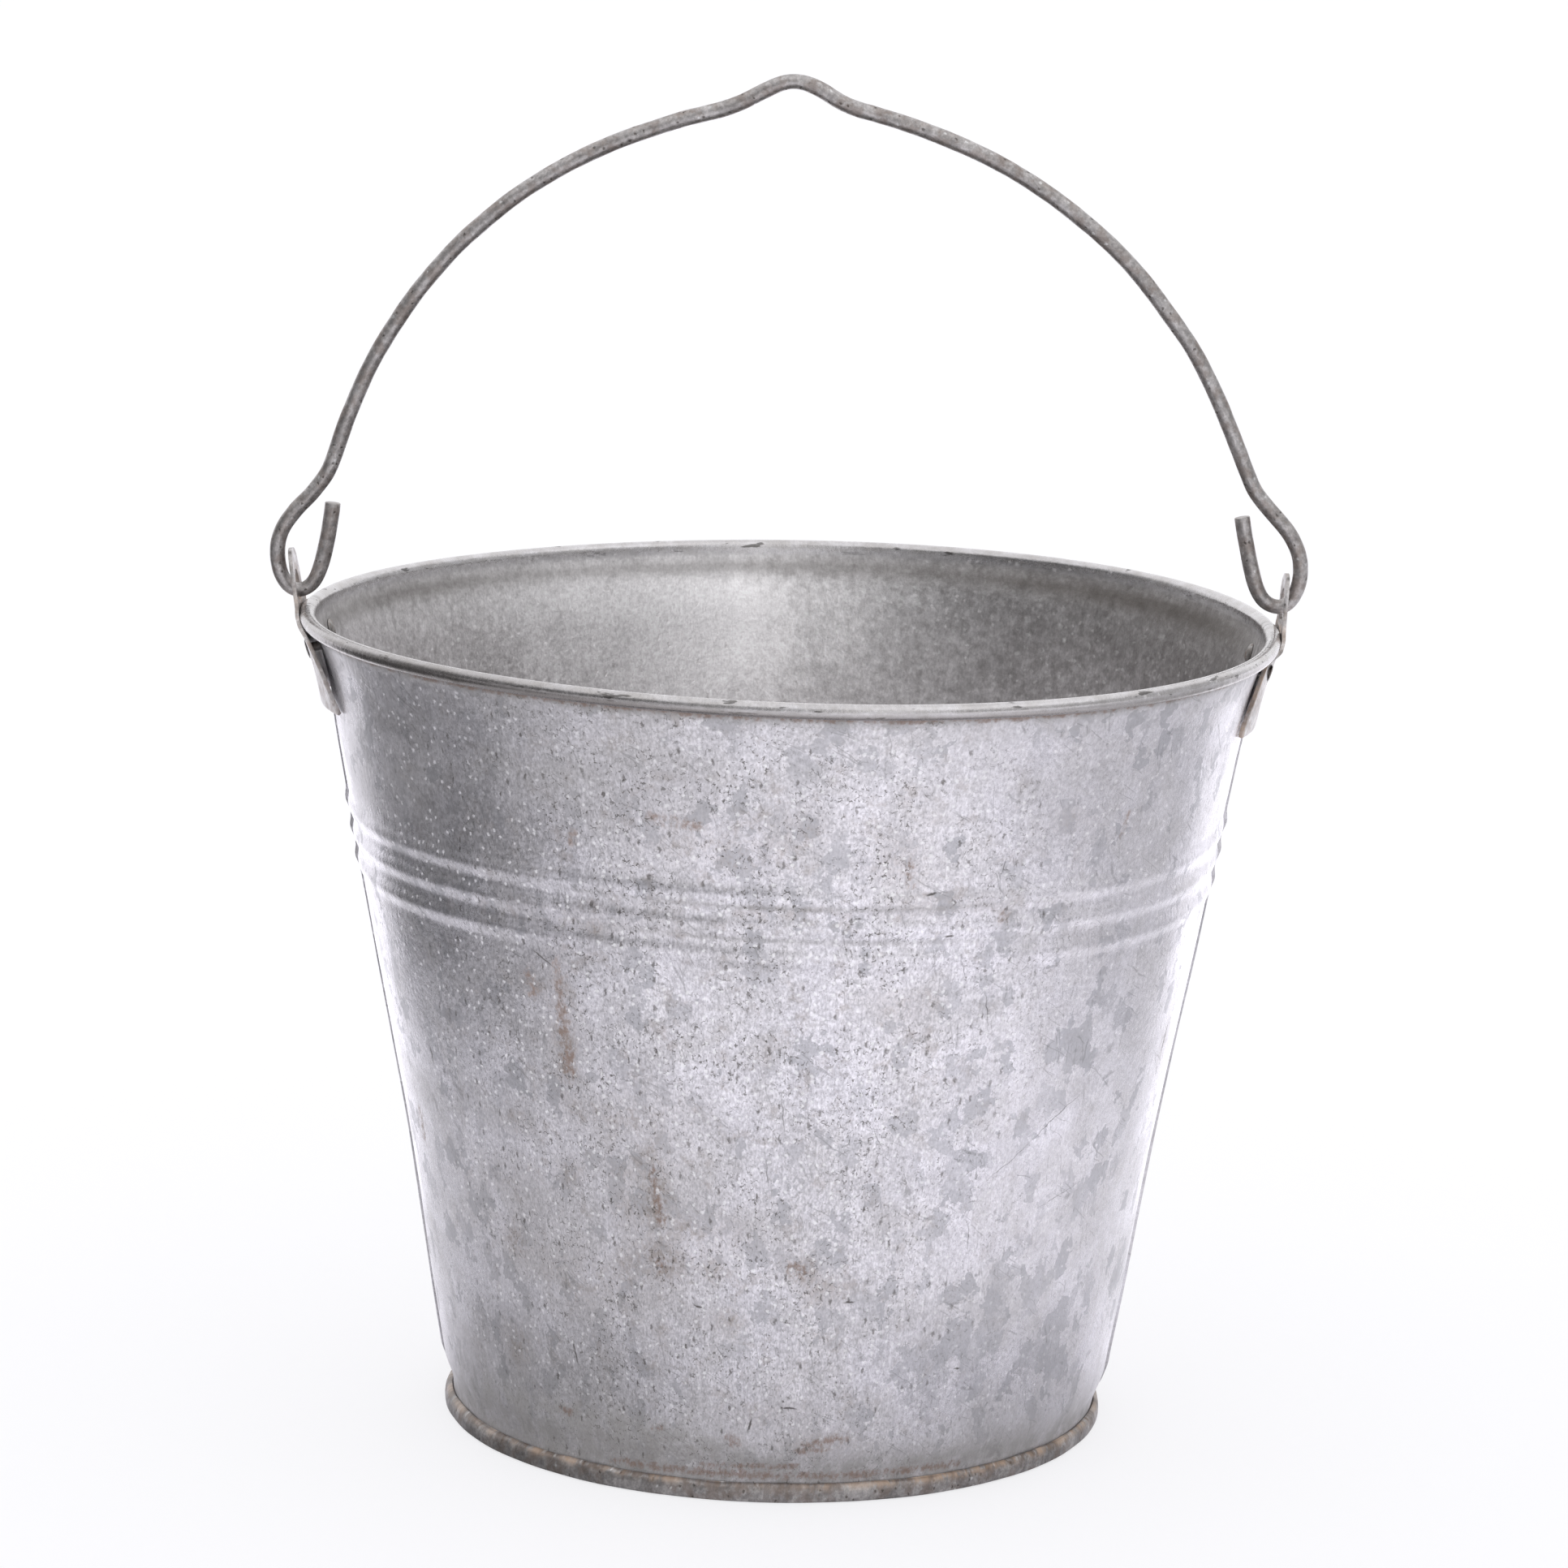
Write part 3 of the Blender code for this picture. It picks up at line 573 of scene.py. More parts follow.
def ear_surface(name, side):
    """Inner face of the ear as a mesh; built at +X and turned round for the left."""
    zs = [EAR_TOP - 0.02, 267.75, 267.5, 267.1, 266.5, 265.8, 265.0, 264.0]
    for start, end, step in ((263.0, 250.5, -0.75), (250.2, 243.0, -0.45), (242.4, 224.4, -1.5)):
        zs += list(np.arange(start, end, step))
    zs += [224.2, 223.8, 223.5]
    bm = bmesh.new()
    uv_layer = bm.loops.layers.uv.new("UVMap")
    grid = []
    for z in zs:
        half_w = max(soft_table(EAR_W, z, 0.25), 0.6)
        row = []
        for k in range(EAR_COLS + 1):
            v = -1 + 2 * k / EAR_COLS
            y = v * half_w
            r = ear_inner(z, y, half_w, side)
            if z < EAR_BEND:
                x = math.sqrt(max(r * r - y * y, 1.0))
            else:
                x = math.sqrt(EAR_R ** 2 - y * y) + (r - EAR_R)
            bow = 0.5 * (1 - v * v) if z < 226 else 0.0      # lower edge bows slightly
            row.append(bm.verts.new((x * MM, y * MM, (z - bow) * MM)))
        grid.append(row)
    for a, b in zip(grid, grid[1:]):
        for k in range(EAR_COLS):
            bm.faces.new((a[k], b[k], b[k + 1], a[k + 1]))
    for face in bm.faces:
        face.normal_update()
    if sum(face.normal.x for face in bm.faces) < 0:
        bmesh.ops.reverse_faces(bm, faces=bm.faces[:])
    if side < 0:
        bmesh.ops.rotate(bm, verts=bm.verts[:], cent=(0, 0, 0),
                         matrix=Matrix.Rotation(PI, 3, 'Z'))
    for face in bm.faces:
        for loop in face.loops:
            loop[uv_layer].uv = (loop.vert.co.y, loop.vert.co.z)
    mesh = bpy.data.meshes.new(name)
    bm.to_mesh(mesh)
    bm.free()
    return mesh


def hole_tool(side):
    """Cylinder along X that cuts the hole for the bail."""
    radius, z = EAR_HOLE[side]
    bm = bmesh.new()
    bmesh.ops.create_cone(bm, cap_ends=True, segments=48, radius1=radius * MM,
                          radius2=radius * MM, depth=0.016)
    mesh = bpy.data.meshes.new("tool")
    bm.to_mesh(mesh)
    bm.free()
    tool = link("tool", mesh)
    tool.location = Vector((side * 151.0, 0, z)) * MM
    tool.rotation_mode = 'QUATERNION'
    tool.rotation_quaternion = Vector((1, 0, 0)).to_track_quat('Z', 'Y')
    return tool


def make_ear(name, side):
    ob = link(name, ear_surface(name, side))
    plate = ob.modifiers.new("plate", 'SOLIDIFY')
    plate.thickness = EAR_T * MM
    plate.offset = 1.0
    plate.use_even_offset = True
    tool = hole_tool(side)
    hole = ob.modifiers.new("hole", 'BOOLEAN')
    hole.operation = 'DIFFERENCE'
    hole.solver = 'EXACT'
    hole.object = tool
    edge = ob.modifiers.new("edge", 'BEVEL')
    edge.width = 0.28 * MM
    edge.segments = 2
    edge.limit_method = 'ANGLE'
    edge.angle_limit = math.radians(50)
    bpy.context.view_layer.update()
    depsgraph = bpy.context.evaluated_depsgraph_get()
    mesh = bpy.data.meshes.new_from_object(ob.evaluated_get(depsgraph))
    ob.modifiers.clear()
    bpy.data.objects.remove(tool)
    ob.data = mesh
    mesh.vertices.foreach_set("co", (warp(coords_mm(mesh)) * MM).ravel())
    mesh.shade_smooth()
    mesh.set_sharp_from_angle(angle=math.radians(50))
    mesh.update()
    return ob


# =====================================================================
# rivets
# =====================================================================
RIVET_Z, RIVET_Y = 239.5, 15.0
RIVET_TILT = math.radians(18.5)
RIVET_STEPS = 40


def make_rivet(name, side, end):
    """Rivet on the side ear (1 right, -1 left), at its -Y or +Y end."""
    ear_r = ear_inner(RIVET_Z, RIVET_Y, table(EAR_W, RIVET_Z), side)
    azimuth = math.asin(RIVET_Y / ear_r)
    axis = Vector((side * math.cos(azimuth) * math.cos(RIVET_TILT),
                   end * math.sin(azimuth) * math.cos(RIVET_TILT), -math.sin(RIVET_TILT)))
    seat = np.array([side * ear_r * math.cos(azimuth), end * ear_r * math.sin(azimuth), RIVET_Z])
    reach = (ear_r - plain_wall_r(RIVET_Z)) * math.cos(RIVET_TILT) + SHEET
    lo, hi = -reach - 0.2, EAR_T + 0.12
    # (radius, height along the axis): flat outer head, shank, domed inner head
    line = [(0.001, hi + 0.46), (0.9, hi + 0.45), (1.7, hi + 0.40), (2.35, hi + 0.30),
            (2.85, hi + 0.16), (3.05, hi + 0.04), (2.95, hi), (1.6, hi), (1.6, lo), (2.9, lo),
            (3.0, lo - 0.15), (2.75, lo - 0.5), (2.1, lo - 0.85), (1.2, lo - 1.05),
            (0.001, lo - 1.12)]
    verts = []
    for i in range(RIVET_STEPS):
        a = 2 * PI * i / RIVET_STEPS
        for r, h in line:
            k = 1 + 0.04 * math.sin(3 * a + side + 2 * end) if r > 2 else 1
            verts.append((r * k * math.cos(a), r * k * math.sin(a), h))
    m = len(line)
    faces = grid_faces(RIVET_STEPS, m, close_rows=True, close_cols=False)
    # close both poles
    verts = np.vstack([verts, [[0, 0, line[0][1]], [0, 0, line[-1][1]]]])
    top, bottom = RIVET_STEPS * m, RIVET_STEPS * m + 1
    for i in range(RIVET_STEPS):
        a, b = i * m, ((i + 1) % RIVET_STEPS) * m
        faces.append((a, top, b))
        faces.append((a + m - 1, b + m - 1, bottom))
    turn = np.array([list(row) for row in axis.to_track_quat('Z', 'Y').to_matrix()])
    verts = verts @ turn.T + warp(seat[None, :])[0]
    uv = np.stack([verts[:, 1] * MM, verts[:, 2] * MM], -1)
    return add_mesh(name, verts, faces, uv, sharp=45)


# =====================================================================
# bail
# =====================================================================
BAIL_Z = 255.0           # heights below are measured from here
BAIL_R = 2.4
BAIL_STEPS = 760
BAIL_SIDES = 28
# wire's centre line, left hook to the peak: (x, height)
BAIL_LEFT = [
    (-141.9, 26.5), (-142.3, 22.6), (-143.1, 17.2), (-144.3, 11.2), (-146.0, 5.0),
    (-148.3, 1.1), (-151.8, -0.6), (-155.3, 0.9), (-157.7, 5.0), (-158.7, 11.0),
    (-157.6, 17.3), (-153.6, 23.7), (-148.0, 29.9), (-143.5, 36.3), (-141.1, 42.8),
    (-139.1, 49.1), (-136.8, 55.4), (-131.6, 68.0), (-124.7, 80.6), (-116.3, 93.2),
    (-105.9, 105.7), (-96.3, 114.9), (-86.7, 122.8), (-77.0, 129.3), (-67.3, 134.8),
    (-57.6, 139.4), (-47.8, 143.2), (-38.1, 146.6), (-30.8, 148.6), (-25.5, 150.15),
    (-20.8, 151.95), (-16.3, 154.25), (-11.4, 156.9), (-7.6, 158.5), (-4.4, 159.0)]
# right hook to just short of the peak: (x, height)
BAIL_RIGHT = [
    (136.2, 30.2), (137.0, 26.0), (138.3, 20.0), (139.9, 13.6), (141.9, 7.8), (144.4, 4.4),
    (148.2, 2.9), (151.7, 4.3), (154.0, 8.6), (154.8, 14.4), (153.7, 20.4), (150.3, 26.4),
    (145.0, 32.3), (139.9, 38.4), (136.8, 44.7), (134.2, 50.9), (131.5, 57.1), (125.8, 69.3),
    (118.9, 81.5), (109.9, 93.6), (100.6, 104.8), (90.6, 114.3), (80.3, 122.4), (70.2, 129.3),
    (60.2, 135.0), (50.3, 139.7), (40.3, 143.6), (30.4, 147.0), (20.6, 149.7), (15.7, 150.95),
    (11.2, 152.5), (7.2, 154.6), (3.2, 156.9), (-0.6, 158.4)]


def catmull(points, per):
    """Catmull-Rom curve through the points, `per` steps between each pair."""
    pts = [np.array(p, float) for p in points]
    pts = [2 * pts[0] - pts[1]] + pts + [2 * pts[-1] - pts[-2]]
    out = []
    for i in range(1, len(pts) - 2):
        p0, p1, p2, p3 = pts[i - 1:i + 3]
        for k in range(per):
            t = k / per
            out.append(0.5 * (2 * p1 + (p2 - p0) * t + (2 * p0 - 5 * p1 + 4 * p2 - p3) * t * t
                              + (3 * p1 - p0 - 3 * p2 + p3) * t ** 3))
    out.append(pts[-2])
    return np.array(out)


def bail_line():
    """Evenly spaced centre line: distance along it, x and height."""
    line = catmull(BAIL_LEFT + BAIL_RIGHT[::-1], per=8)
    lengths = np.linalg.norm(np.diff(line, axis=0), axis=1)
    raw = np.concatenate([[0], np.cumsum(lengths)])
    along = np.linspace(0, raw[-1], BAIL_STEPS)
    x = np.interp(along, raw, line[:, 0])
    h = np.interp(along, raw, line[:, 1])
    for _ in range(3):                           # ease the polyline
        x[1:-1] = (x[:-2] + 2 * x[1:-1] + x[2:]) / 4
        h[1:-1] = (h[:-2] + 2 * h[1:-1] + h[2:]) / 4
    return along, x, h


def cut_end(ring, out_dir):
    """Two rings that close a cut end with a slightly rounded burr."""
    c = ring.mean(0)
    return c + (ring - c) * 0.93 + out_dir * 0.22, c + (ring - c) * 0.55 + out_dir * 0.30


def make_bail():
    n, sides = BAIL_STEPS, BAIL_SIDES
    along, x, h = bail_line()
    # hand-bent wire: it wanders slightly out of its plane
    y = 0.35 * np.sin(along * 0.021 + 0.6) + 0.2 * np.sin(along * 0.057) * smooth((h - 30) / 40)
    y = y * smooth((h - 20) / 30)
    tx, th = np.gradient(x), np.gradient(h)
    length = np.hypot(tx, th)
    tx, th = tx / length, th / length
    curve = np.abs(np.gradient(np.unwrap(np.arctan2(th, tx)))) / (along[-1] / n)
    curve = np.convolve(curve, np.ones(9) / 9, 'same')
    verts, uv = [], []
    for i in range(n):
        s = along[i]
        flat = min(0.09, curve[i] * 0.55)        # bends squeeze the wire a little
        rad = BAIL_R * (1 + 0.010 * math.sin(s * 0.16) + 0.008 * math.sin(s * 0.43 + 1))
        in_plane, across = rad * (1 - flat), rad * (1 + flat * 0.8)
        for k in range(sides):
            a = 2 * PI * k / sides
            lump = 0.02 * math.sin(5 * a + s * 0.31) + 0.015 * math.sin(3 * a - s * 0.83)
            c, d = math.cos(a) * (in_plane + lump), math.sin(a) * (across + lump)
            verts.append((x[i] + th[i] * c, y[i] + d, BAIL_Z + h[i] - tx[i] * c))
            uv.append((s * MM, a * 2.6 * MM))
    rings = list(np.array(verts).reshape(n, sides, 3))
    start = cut_end(rings[0], -np.array([tx[0], 0, th[0]]))
    end = cut_end(rings[-1], np.array([tx[-1], 0, th[-1]]))
    rings = [start[1], start[0]] + rings + [end[0], end[1]]
    uvs = list(np.array(uv).reshape(n, sides, 2))
    uvs = [uvs[0], uvs[0]] + uvs + [uvs[-1], uvs[-1]]
    faces = grid_faces(n + 4, sides)
    faces.append(tuple(range(sides)))
    faces.append(tuple(range((n + 3) * sides, (n + 4) * sides))[::-1])
    return add_mesh("bail_handle", np.array(rings).reshape(-1, 3), faces, np.array(uvs), sharp=60)


# =====================================================================
# build the pieces
# =====================================================================
body_front = body_half("wall_front", 0.0)
body_back = body_half("wall_back", 180.0)
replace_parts(body_front, "body_front")
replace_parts(body_back, "body_back")

foot = turned("foot_band", rounded(FOOT_CORNERS, radius=0.5, steps=4), 360, foot_rough)
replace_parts(foot, "foot_ring")
plate = turned("bottom_plate", PLATE_LINE, 240, plate_rough)
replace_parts(plate, "bottom_disc")
rim_wire = make_rim_wire()
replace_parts(rim_wire, "rim_wire")

ear_right = make_ear("ear_plate_right", 1)
ear_left = make_ear("ear_plate_left", -1)
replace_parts(ear_right, "ear_right")
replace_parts(ear_left, "ear_left")

for rivet, side, end in (("rivet_right_front", 1, -1), ("rivet_right_back", 1, 1),
                         ("rivet_left_front", -1, -1), ("rivet_left_back", -1, 1)):
    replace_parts(make_rivet("head_" + rivet, side, end), rivet)

bail = make_bail()
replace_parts(bail, "bail_wire")

pail_pieces = [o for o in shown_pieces() if o is not bail and "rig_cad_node" not in o]
for piece in pail_pieces:
    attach(piece, "pail")
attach(bail, "bail")


# =====================================================================
# node building
# =====================================================================
class Value:
    """An output socket.  Arithmetic on it makes Math nodes."""

    def __init__(self, net, socket):
        self.net = net
        self.socket = socket

    def __add__(self, other):
        return self.net.math('ADD', self, other)

    def __radd__(self, other):
        return self.net.math('ADD', other, self)

    def __sub__(self, other):
        return self.net.math('SUBTRACT', self, other)

    def __rsub__(self, other):
        return self.net.math('SUBTRACT', other, self)

    def __mul__(self, other):
        return self.net.math('MULTIPLY', self, other)

    def out(self, key):
        """Another output of the same node."""
        return Value(self.net, self.socket.node.outputs[key])

    def ramp(self, over, to=(0.0, 1.0)):
        """Smooth step from to[0] to to[1] as the value passes over the range."""
        return self.net.node("ShaderNodeMapRange", {
            "Value": self, "From Min": over[0], "From Max": over[1],
            "To Min": to[0], "To Max": to[1]}, interpolation_type='SMOOTHSTEP')

    def noise(self, scale, detail=3.0, rough=0.55, distort=0.0, output=0):
        return self.net.node("ShaderNodeTexNoise", {
            "Vector": self, "Scale": scale, "Detail": detail, "Roughness": rough,
            "Distortion": distort}, output, noise_dimensions=self.net.dims)

    def cells(self, scale, feature='F1', output="Distance"):
        return self.net.node("ShaderNodeTexVoronoi", {"Vector": self, "Scale": scale}, output,
                             feature=feature, voronoi_dimensions=self.net.dims)

    def cell_parts(self, scale):
        """Random numbers of each cell, as out(0) and out(1)."""
        return self.net.node("ShaderNodeSeparateColor", {0: self.cells(scale, output="Color")})

    def moved(self, by=(0, 0), turn=0.0, stretch=(1, 1), kind='POINT'):
        return self.net.node("ShaderNodeMapping", {
            "Vector": self, "Location": (*by, 0), "Rotation": (0, 0, turn),
            "Scale": (*stretch, 1)}, vector_type=kind)

    def ragged(self, scale, amount):
        """The vector pushed about by a noise, for ragged edges."""
        push = self.noise(scale, detail=2.0, rough=0.6, output="Color")
        push = self.net.vmath('SUBTRACT', push, (0.5, 0.5, 0.5))
        push = self.net.vmath('SCALE', push, amount)
        return self.net.vmath('ADD', self, push)


class Net:
    """Short-hand for building a node tree."""

    dims = '2D'      # dimensions of the textures
    spare = 0.0      # value left in a Math node's third input

    def __init__(self, tree):
        self.tree = tree

    def put(self, socket, v):
        if isinstance(v, Value):
            self.tree.links.new(v.socket, socket)
        elif isinstance(v, tuple):
            socket.default_value = v + (1.0,) * (len(socket.default_value) - len(v))
        else:
            socket.default_value = v

    def fill(self, node, inputs):
        for key, v in inputs.items():
            self.put(node.inputs[key], v)

    def node(self, kind, inputs=None, output=0, **props):
        node = self.tree.nodes.new(kind)
        for key, v in props.items():
            setattr(node, key, v)
        self.fill(node, inputs or {})
        return Value(self, node.outputs[output])

    def math(self, op, a, b=0.0, clamp=False):
        return self.node("ShaderNodeMath", {0: a, 1: b, 2: self.spare},
                         operation=op, use_clamp=clamp)

    def largest(self, a, b):
        return self.math('MAXIMUM', a, b)

    def vmath(self, op, a, b=(0, 0, 0), output=0):
        key = "Scale" if isinstance(b, float) else 1
        return self.node("ShaderNodeVectorMath", {0: a, key: b}, output, operation=op)

    def blend(self, amount, a, b, mode='MIX'):
        return self.node("ShaderNodeMix", {0: amount, 6: a, 7: b}, 2,
                         data_type='RGBA', blend_type=mode)

    def layered(self, colour, layers):
        """Lay (mask, strength, colour) layers over a colour."""
        for mask, strength, layer in layers:
            colour = self.blend(mask * strength, colour, layer)
        return colour

    def attr(self, name):
        return self.node("ShaderNodeAttribute", output="Fac", attribute_name=name)

    def strokes(self, vec, marks, core=0.35):
        """Brightest of (phi0, z0, phi1, z1, width) strokes in degrees and mm, full at the core."""
        best = None
        for deg0, z0, deg1, z1, width in marks:
            u0, u1 = math.radians(deg0) * UNROLL, math.radians(deg1) * UNROLL
            v0, v1, w = z0 * MM, z1 * MM, width * MM
            half = math.hypot(u1 - u0, v1 - v0) / 2 + w / 2
            local = vec.moved(by=((u0 + u1) / 2, (v0 + v1) / 2),
                              turn=math.atan2(v1 - v0, u1 - u0),
                              stretch=(half, w / 2), kind='TEXTURE')
            flat = self.vmath('MULTIPLY', local, (1, 1, 0))
            one = self.vmath('LENGTH', flat, output="Value").ramp(over=(1.0, core))
            best = one if best is None else self.largest(best, one)
        return best


class MaterialNet(Net):
    def __init__(self, name):
        self.mat = bpy.data.materials.new(name)
        self.mat.use_nodes = True
        super().__init__(self.mat.node_tree)
        self.bsdf = self.tree.nodes["Principled BSDF"]

    def finish(self, colour, rough, metal, height, bump_strength):
        """Connect the surface; the bumps are at most 0.22 mm high."""
        normal = self.node("ShaderNodeBump", {"Strength": bump_strength, "Distance": 0.00022,
                                              "Height": height})
        self.fill(self.bsdf, {"Base Color": colour, "Roughness": rough, "Metallic": metal,
                              "Normal": normal})
        return self.mat


# =====================================================================
# worn hot-dip zinc of the wall
# =====================================================================
# strokes: (phi0, z0, phi1, z1, width mm)
FRONT_DARK = [
    (-35.5, 168.5, -31.2, 163.0, 0.8), (-3.5, 27.5, -4.1, 22.5, 1.1), (1.0, 31.2, 4.0, 30.7, 0.9),
    (17.2, 193.2, 18.4, 193.6, 1.1), (-12.6, 62.4, -10.9, 61.8, 0.8),
    (10.2, 65.0, 12.0, 65.2, 0.8), (-33.9, 46.5, -33.1, 36.0, 0.8), (69.9, 138, 69.2, 125, 0.9),
    (20.0, 180.3, 21.0, 180.2, 1.1), (-60.3, 128, -60.0, 120, 0.8), (29.4, 40.8, 30.6, 40.9, 0.8)]
FRONT_FINE = [
    (0.0, 135, 0.9, 116, 0.45), (-1.7, 113, -1.2, 99, 0.4), (28.6, 89, 29.6, 77, 0.5),
    (33, 105, 49.5, 130.5, 0.4), (29, 98, 41, 117, 0.35), (26, 165, 27.5, 148, 0.45),
    (27.0, 205, 26.2, 196, 0.5), (22, 175, 24, 164, 0.35), (-10, 52, -7, 44, 0.35),
    (12, 124, 15, 112, 0.35), (-24, 196, -21, 188, 0.35), (39, 88, 52, 96, 0.3)]
BACK_DARK = [
    (150, 120, 152, 108, 0.9), (170, 60, 176, 61, 0.8), (195, 150, 196, 140, 1.0),
    (215, 40, 216, 30, 0.9), (235, 200, 238, 202, 1.2), (128, 182, 129, 171, 0.8),
    (183, 196, 184, 186, 1.2), (205, 88, 207, 90, 1.4), (222, 128, 222.5, 118, 0.8),
    (140, 34, 143, 35, 1.0)]
BACK_FINE = [
    (145, 90, 165, 118, 0.4), (180, 140, 182, 122, 0.45), (200, 60, 214, 76, 0.35),
    (125, 120, 127, 104, 0.45), (228, 170, 240, 150, 0.35), (160, 200, 172, 204, 0.3),
    (190, 30, 199, 33, 0.35), (112, 60, 120, 78, 0.35)]


def flaking(uv, area):
    """Jagged flaked patches, and the slight brightness step between spangles."""
    shard = uv.ragged(scale=240.0, amount=0.0085).moved(turn=0.6, stretch=(1.0, 0.6))
    shard = shard.cell_parts(scale=210.0)
    jag = area + (shard.out(0) - 0.5) * 1.7
    jag = jag + (uv.noise(scale=210.0) - 0.5) * 1.0
    flake = jag.ramp(over=(0.56, 0.60)) * shard.out(1).ramp(over=(0.0, 1.0), to=(0.45, 1.0))
    big = uv.ragged(scale=160.0, amount=0.008).cell_parts(scale=95.0)
    return flake, big.out(1) * 0.10 + shard.out(1) * 0.07


def crackling(uv, coarse):
    """Fine crackle: broken short dark lines."""
    edge = uv.ragged(scale=520.0, amount=0.0030).moved(stretch=(1.0, 0.70))
    line = edge.cells(scale=620.0, feature='DISTANCE_TO_EDGE').ramp(over=(0.11, 0.02))
    breaks = uv.moved(by=(9, 4)).noise(scale=520.0, detail=2.0, rough=0.7)
    areas = uv.moved(by=(2, 8)).noise(scale=60.0)
    mask = breaks.ramp(over=(0.50, 0.60)) * areas.ramp(over=(0.36, 0.62), to=(0.35, 1.0))
    return line * mask * coarse


def pitting(uv, coarse):
    pit_uv = uv.ragged(scale=900.0, amount=0.0014).moved(stretch=(1.0, 0.42))
    pits = (pit_uv.cells(scale=330.0).ramp(over=(0.20, 0.06))
            * pit_uv.cell_parts(scale=330.0).out(0).ramp(over=(0.82, 0.86)))
    return pits * coarse.ramp(over=(0.25, 0.75), to=(0.22, 1.0))


def hairlines(net, uv):
    """Hairline scratches at two slants."""
    best = None
    for turn, offset in ((1.35, 0.0), (0.55, 5.0)):
        hair = uv.ragged(scale=60.0, amount=0.004).moved(by=(offset, offset), turn=turn)
        hair = hair.moved(stretch=(0.055, 1.0)).cells(scale=210.0, feature='DISTANCE_TO_EDGE')
        areas = uv.moved(by=(offset + 1, 3)).noise(scale=90.0, detail=2.0)
        one = hair.ramp(over=(0.030, 0.006)) * areas.ramp(over=(0.57, 0.66))
        best = one if best is None else net.largest(best, one)
    return best


def rim_colour(net, uv, tone, grime):
    """The rim curl: darkened by dirt and by painted shade on the front-left underside, rubbed
    bright in places.
    """
    rub = uv.moved(by=(2, 2), stretch=(1.0, 3.0)).noise(scale=150.0, detail=4.0, rough=0.6)
    col = net.blend(rub.ramp(over=(0.25, 0.80)), (0.53, 0.51, 0.505), (0.67, 0.655, 0.67))
    spots = uv.moved(by=(7, 1), stretch=(0.35, 1.5)).noise(scale=300.0)
    col = net.layered(col, [(spots.ramp(over=(0.66, 0.72)), 0.75, (0.075, 0.07, 0.065))])
    col = net.blend(0.4, col, tone, mode='MULTIPLY')
    # dirt and painted shade, deepest on the front-left underside of the curl
    return net.layered(col, [(grime, 0.75, (0.20, 0.18, 0.17))])


